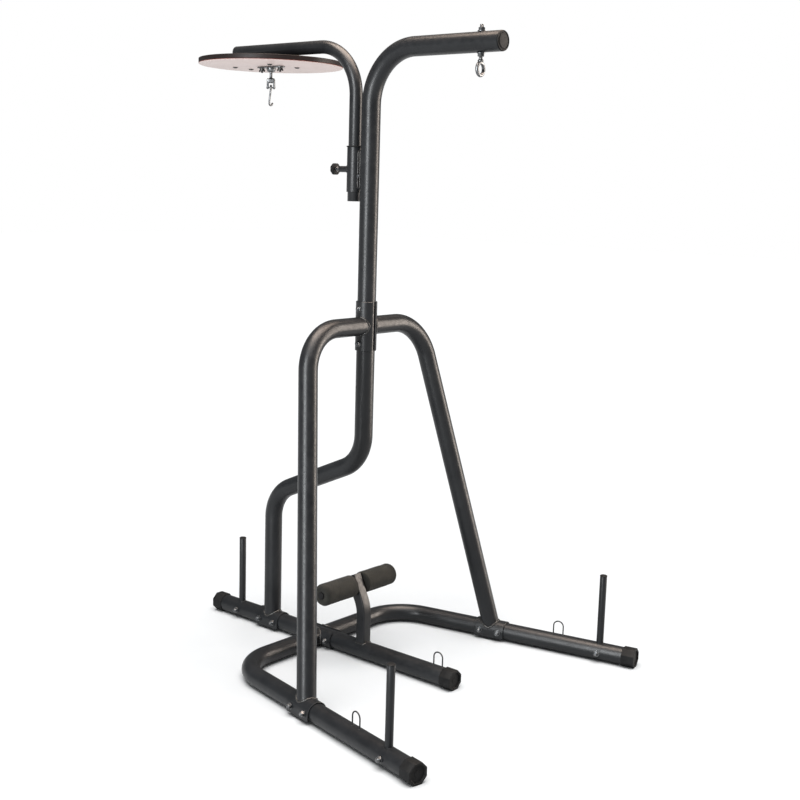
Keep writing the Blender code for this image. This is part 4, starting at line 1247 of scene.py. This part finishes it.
def foam_profile(radius, inner, outer):
    """Section of a roll: its bore, a small edge inside and a large one outside."""
    shoulder = radius - OUTER_EASE
    profile = [(FOAM_BORE, inner + 0.003), (FOAM_MOUTH, inner + 0.0006)]
    profile += run((FOAM_MOUTH, inner), (radius - INNER_EASE, inner), 6)
    profile += arc((radius - INNER_EASE, inner + INNER_EASE), INNER_EASE, -math.pi / 2, 0, 6)[1:]
    profile += run((radius, inner + INNER_EASE), (radius, outer - OUTER_EASE), 44)
    profile += arc((shoulder, outer - OUTER_EASE), OUTER_EASE, 0, math.pi / 2, 12)[1:]
    profile += run((shoulder, outer), (0.0145, outer - 0.0012), 8)
    return profile + [(0.0120, outer - 0.0022), (FOAM_BORE, outer - 0.006)]


def foam_roll(side, word, axle):
    """A soft roll with rounded, slightly uneven ends and a moulded skin."""
    name = "foam_roll_" + word
    inner, outer = sorted((abs(low(name).y), abs(high(name).y)))
    radius = (high(name).z - low(name).z) / 2

    def uneven(angle, reach, height):
        spot = Vector((math.cos(angle) * 1.3, math.sin(angle) * 1.3, height * 26 + side * 9))
        wide = noise.noise(spot) * 0.0009
        fine = noise.noise(spot * 5.0) * 0.00035
        hold = min(1.0, max(0.0, (reach - 0.012) / 0.01))
        return reach + (wide + fine - 0.0006) * hold, height

    place = local_frame(axle, Y_AXIS * side, X_AXIS)
    shape = Shape().turn(foam_profile(radius, inner, outer), place, 112, closed=True,
                         shape=uneven)
    roll = stand_in(name, shape, FOAM, "foam_" + word, sharp=80)


# ---------- stage

def linked(name, data):
    """A new object of some data, linked into the scene."""
    made = bpy.data.objects.new(name, data)
    bpy.context.scene.collection.objects.link(made)
    return made


def stage():
    """A plain pale floor, which isn't part of the stand."""
    mesh = bpy.data.meshes.new("floor")
    corners = [(x, y, 0) for x, y in rectangle(30.0, 30.0)]
    mesh.from_pydata(corners, [], [(0, 1, 2, 3)])
    floor = linked("floor", mesh)
    f = Finish("pale_floor", specular=0.2)
    f.set("Base Color", f.ramp(f.noise(3.0, 3.0), (0.3, (0.90, 0.90, 0.90)),
                               (0.7, (0.93, 0.93, 0.93))))
    f.rough(f.noise(40.0, 2.0), 0.75, 0.9)
    mesh.materials.append(f.material)
    return floor


def softbox(name, place, target, size, power, colour, not_on):
    """A rectangle of soft light; the floor is left to the sky, so it stays plain."""
    data = bpy.data.lights.new(name, "AREA")
    data.shape = "RECTANGLE"
    data.size, data.size_y = size
    data.energy = power
    data.color = colour
    light = linked(name, data)
    light.location = place
    light.rotation_euler = (Vector(target) - Vector(place)).to_track_quat("-Z", "Y").to_euler()
    light.light_linking.receiver_collection = not_on


def lights(floor):
    """Two tall soft boxes, a warm one overhead, and a wide soft sun from above."""
    spared = bpy.data.collections.new("spared_by_softboxes")
    spared.objects.link(floor)
    spared.collection_objects[0].light_linking.link_state = "EXCLUDE"
    centre = (0.0, 0.0, 1.1)
    softbox("key_left", (0.5, -4.4, 2.3), centre, (1.40, 4.2), 460, (0.95, 0.98, 1.0), spared)
    softbox("rim_right", (3.0, 3.6, 1.9), centre, (1.4, 3.8), 330, (1.0, 0.88, 0.78), spared)
    softbox("warm_top", (0.2, 0.3, 4.6), (0, 0, 0), (2.4, 3.6), 420, (1.0, 0.80, 0.66), spared)
    sun = bpy.data.lights.new("overhead", "SUN")
    sun.energy = 3.25
    sun.angle = math.radians(60)
    linked("overhead", sun).rotation_euler = (math.radians(10), math.radians(8), 0)


def sky():
    """A world that is white to the camera and dimmer for the light it gives."""
    world = bpy.data.worlds.new("studio")
    bpy.context.scene.world = world
    world.use_nodes = True
    nodes = world.node_tree.nodes
    shining = nodes["Background"]
    shining.inputs["Color"].default_value = (0.92, 0.97, 1.0, 1)
    shining.inputs["Strength"].default_value = 0.22
    seen = nodes.new("ShaderNodeBackground")
    seen.inputs["Color"].default_value = (1, 1, 1, 1)
    seen.inputs["Strength"].default_value = 1.0
    path = nodes.new("ShaderNodeLightPath")
    mix = nodes.new("ShaderNodeMixShader")
    for source, target in ((path.outputs["Is Camera Ray"], mix.inputs["Fac"]),
                           (shining.outputs[0], mix.inputs[1]),
                           (seen.outputs[0], mix.inputs[2]),
                           (mix.outputs[0], nodes["World Output"].inputs["Surface"])):
        world.node_tree.links.new(source, target)
    bpy.context.scene.view_settings.view_transform = "Standard"


def camera():
    """A three-quarter view of the near side, from a height below the board."""
    yaw, pitch, roll = (math.radians(angle) for angle in (129.850, -9.638, 1.642))
    ahead = Vector((math.cos(yaw) * math.cos(pitch), math.sin(yaw) * math.cos(pitch),
                    math.sin(pitch)))
    right = Vector((math.sin(yaw), -math.cos(yaw), 0))
    up = right.cross(ahead)
    right, up = (right * math.cos(roll) + up * math.sin(roll),
                 up * math.cos(roll) - right * math.sin(roll))
    matrix = Matrix((right, up, -ahead)).transposed().to_4x4()
    matrix.translation = (CROSS_X + 2.9912, -3.1716, TUBE_Z + 1.6197)
    data = bpy.data.cameras.new("camera")
    data.lens = 56.01
    data.sensor_width = 36.0
    data.clip_end = 100.0
    eye = linked("camera", data)
    eye.matrix_world = matrix
    bpy.context.scene.camera = eye


camera()
base()
post()
a_frame()
eye_bolt()
arm_plug()
sleeve()
sleeve_welds()
set_screw()
lock()
speed_arm()
platform()
roller()
lights(stage())
sky()
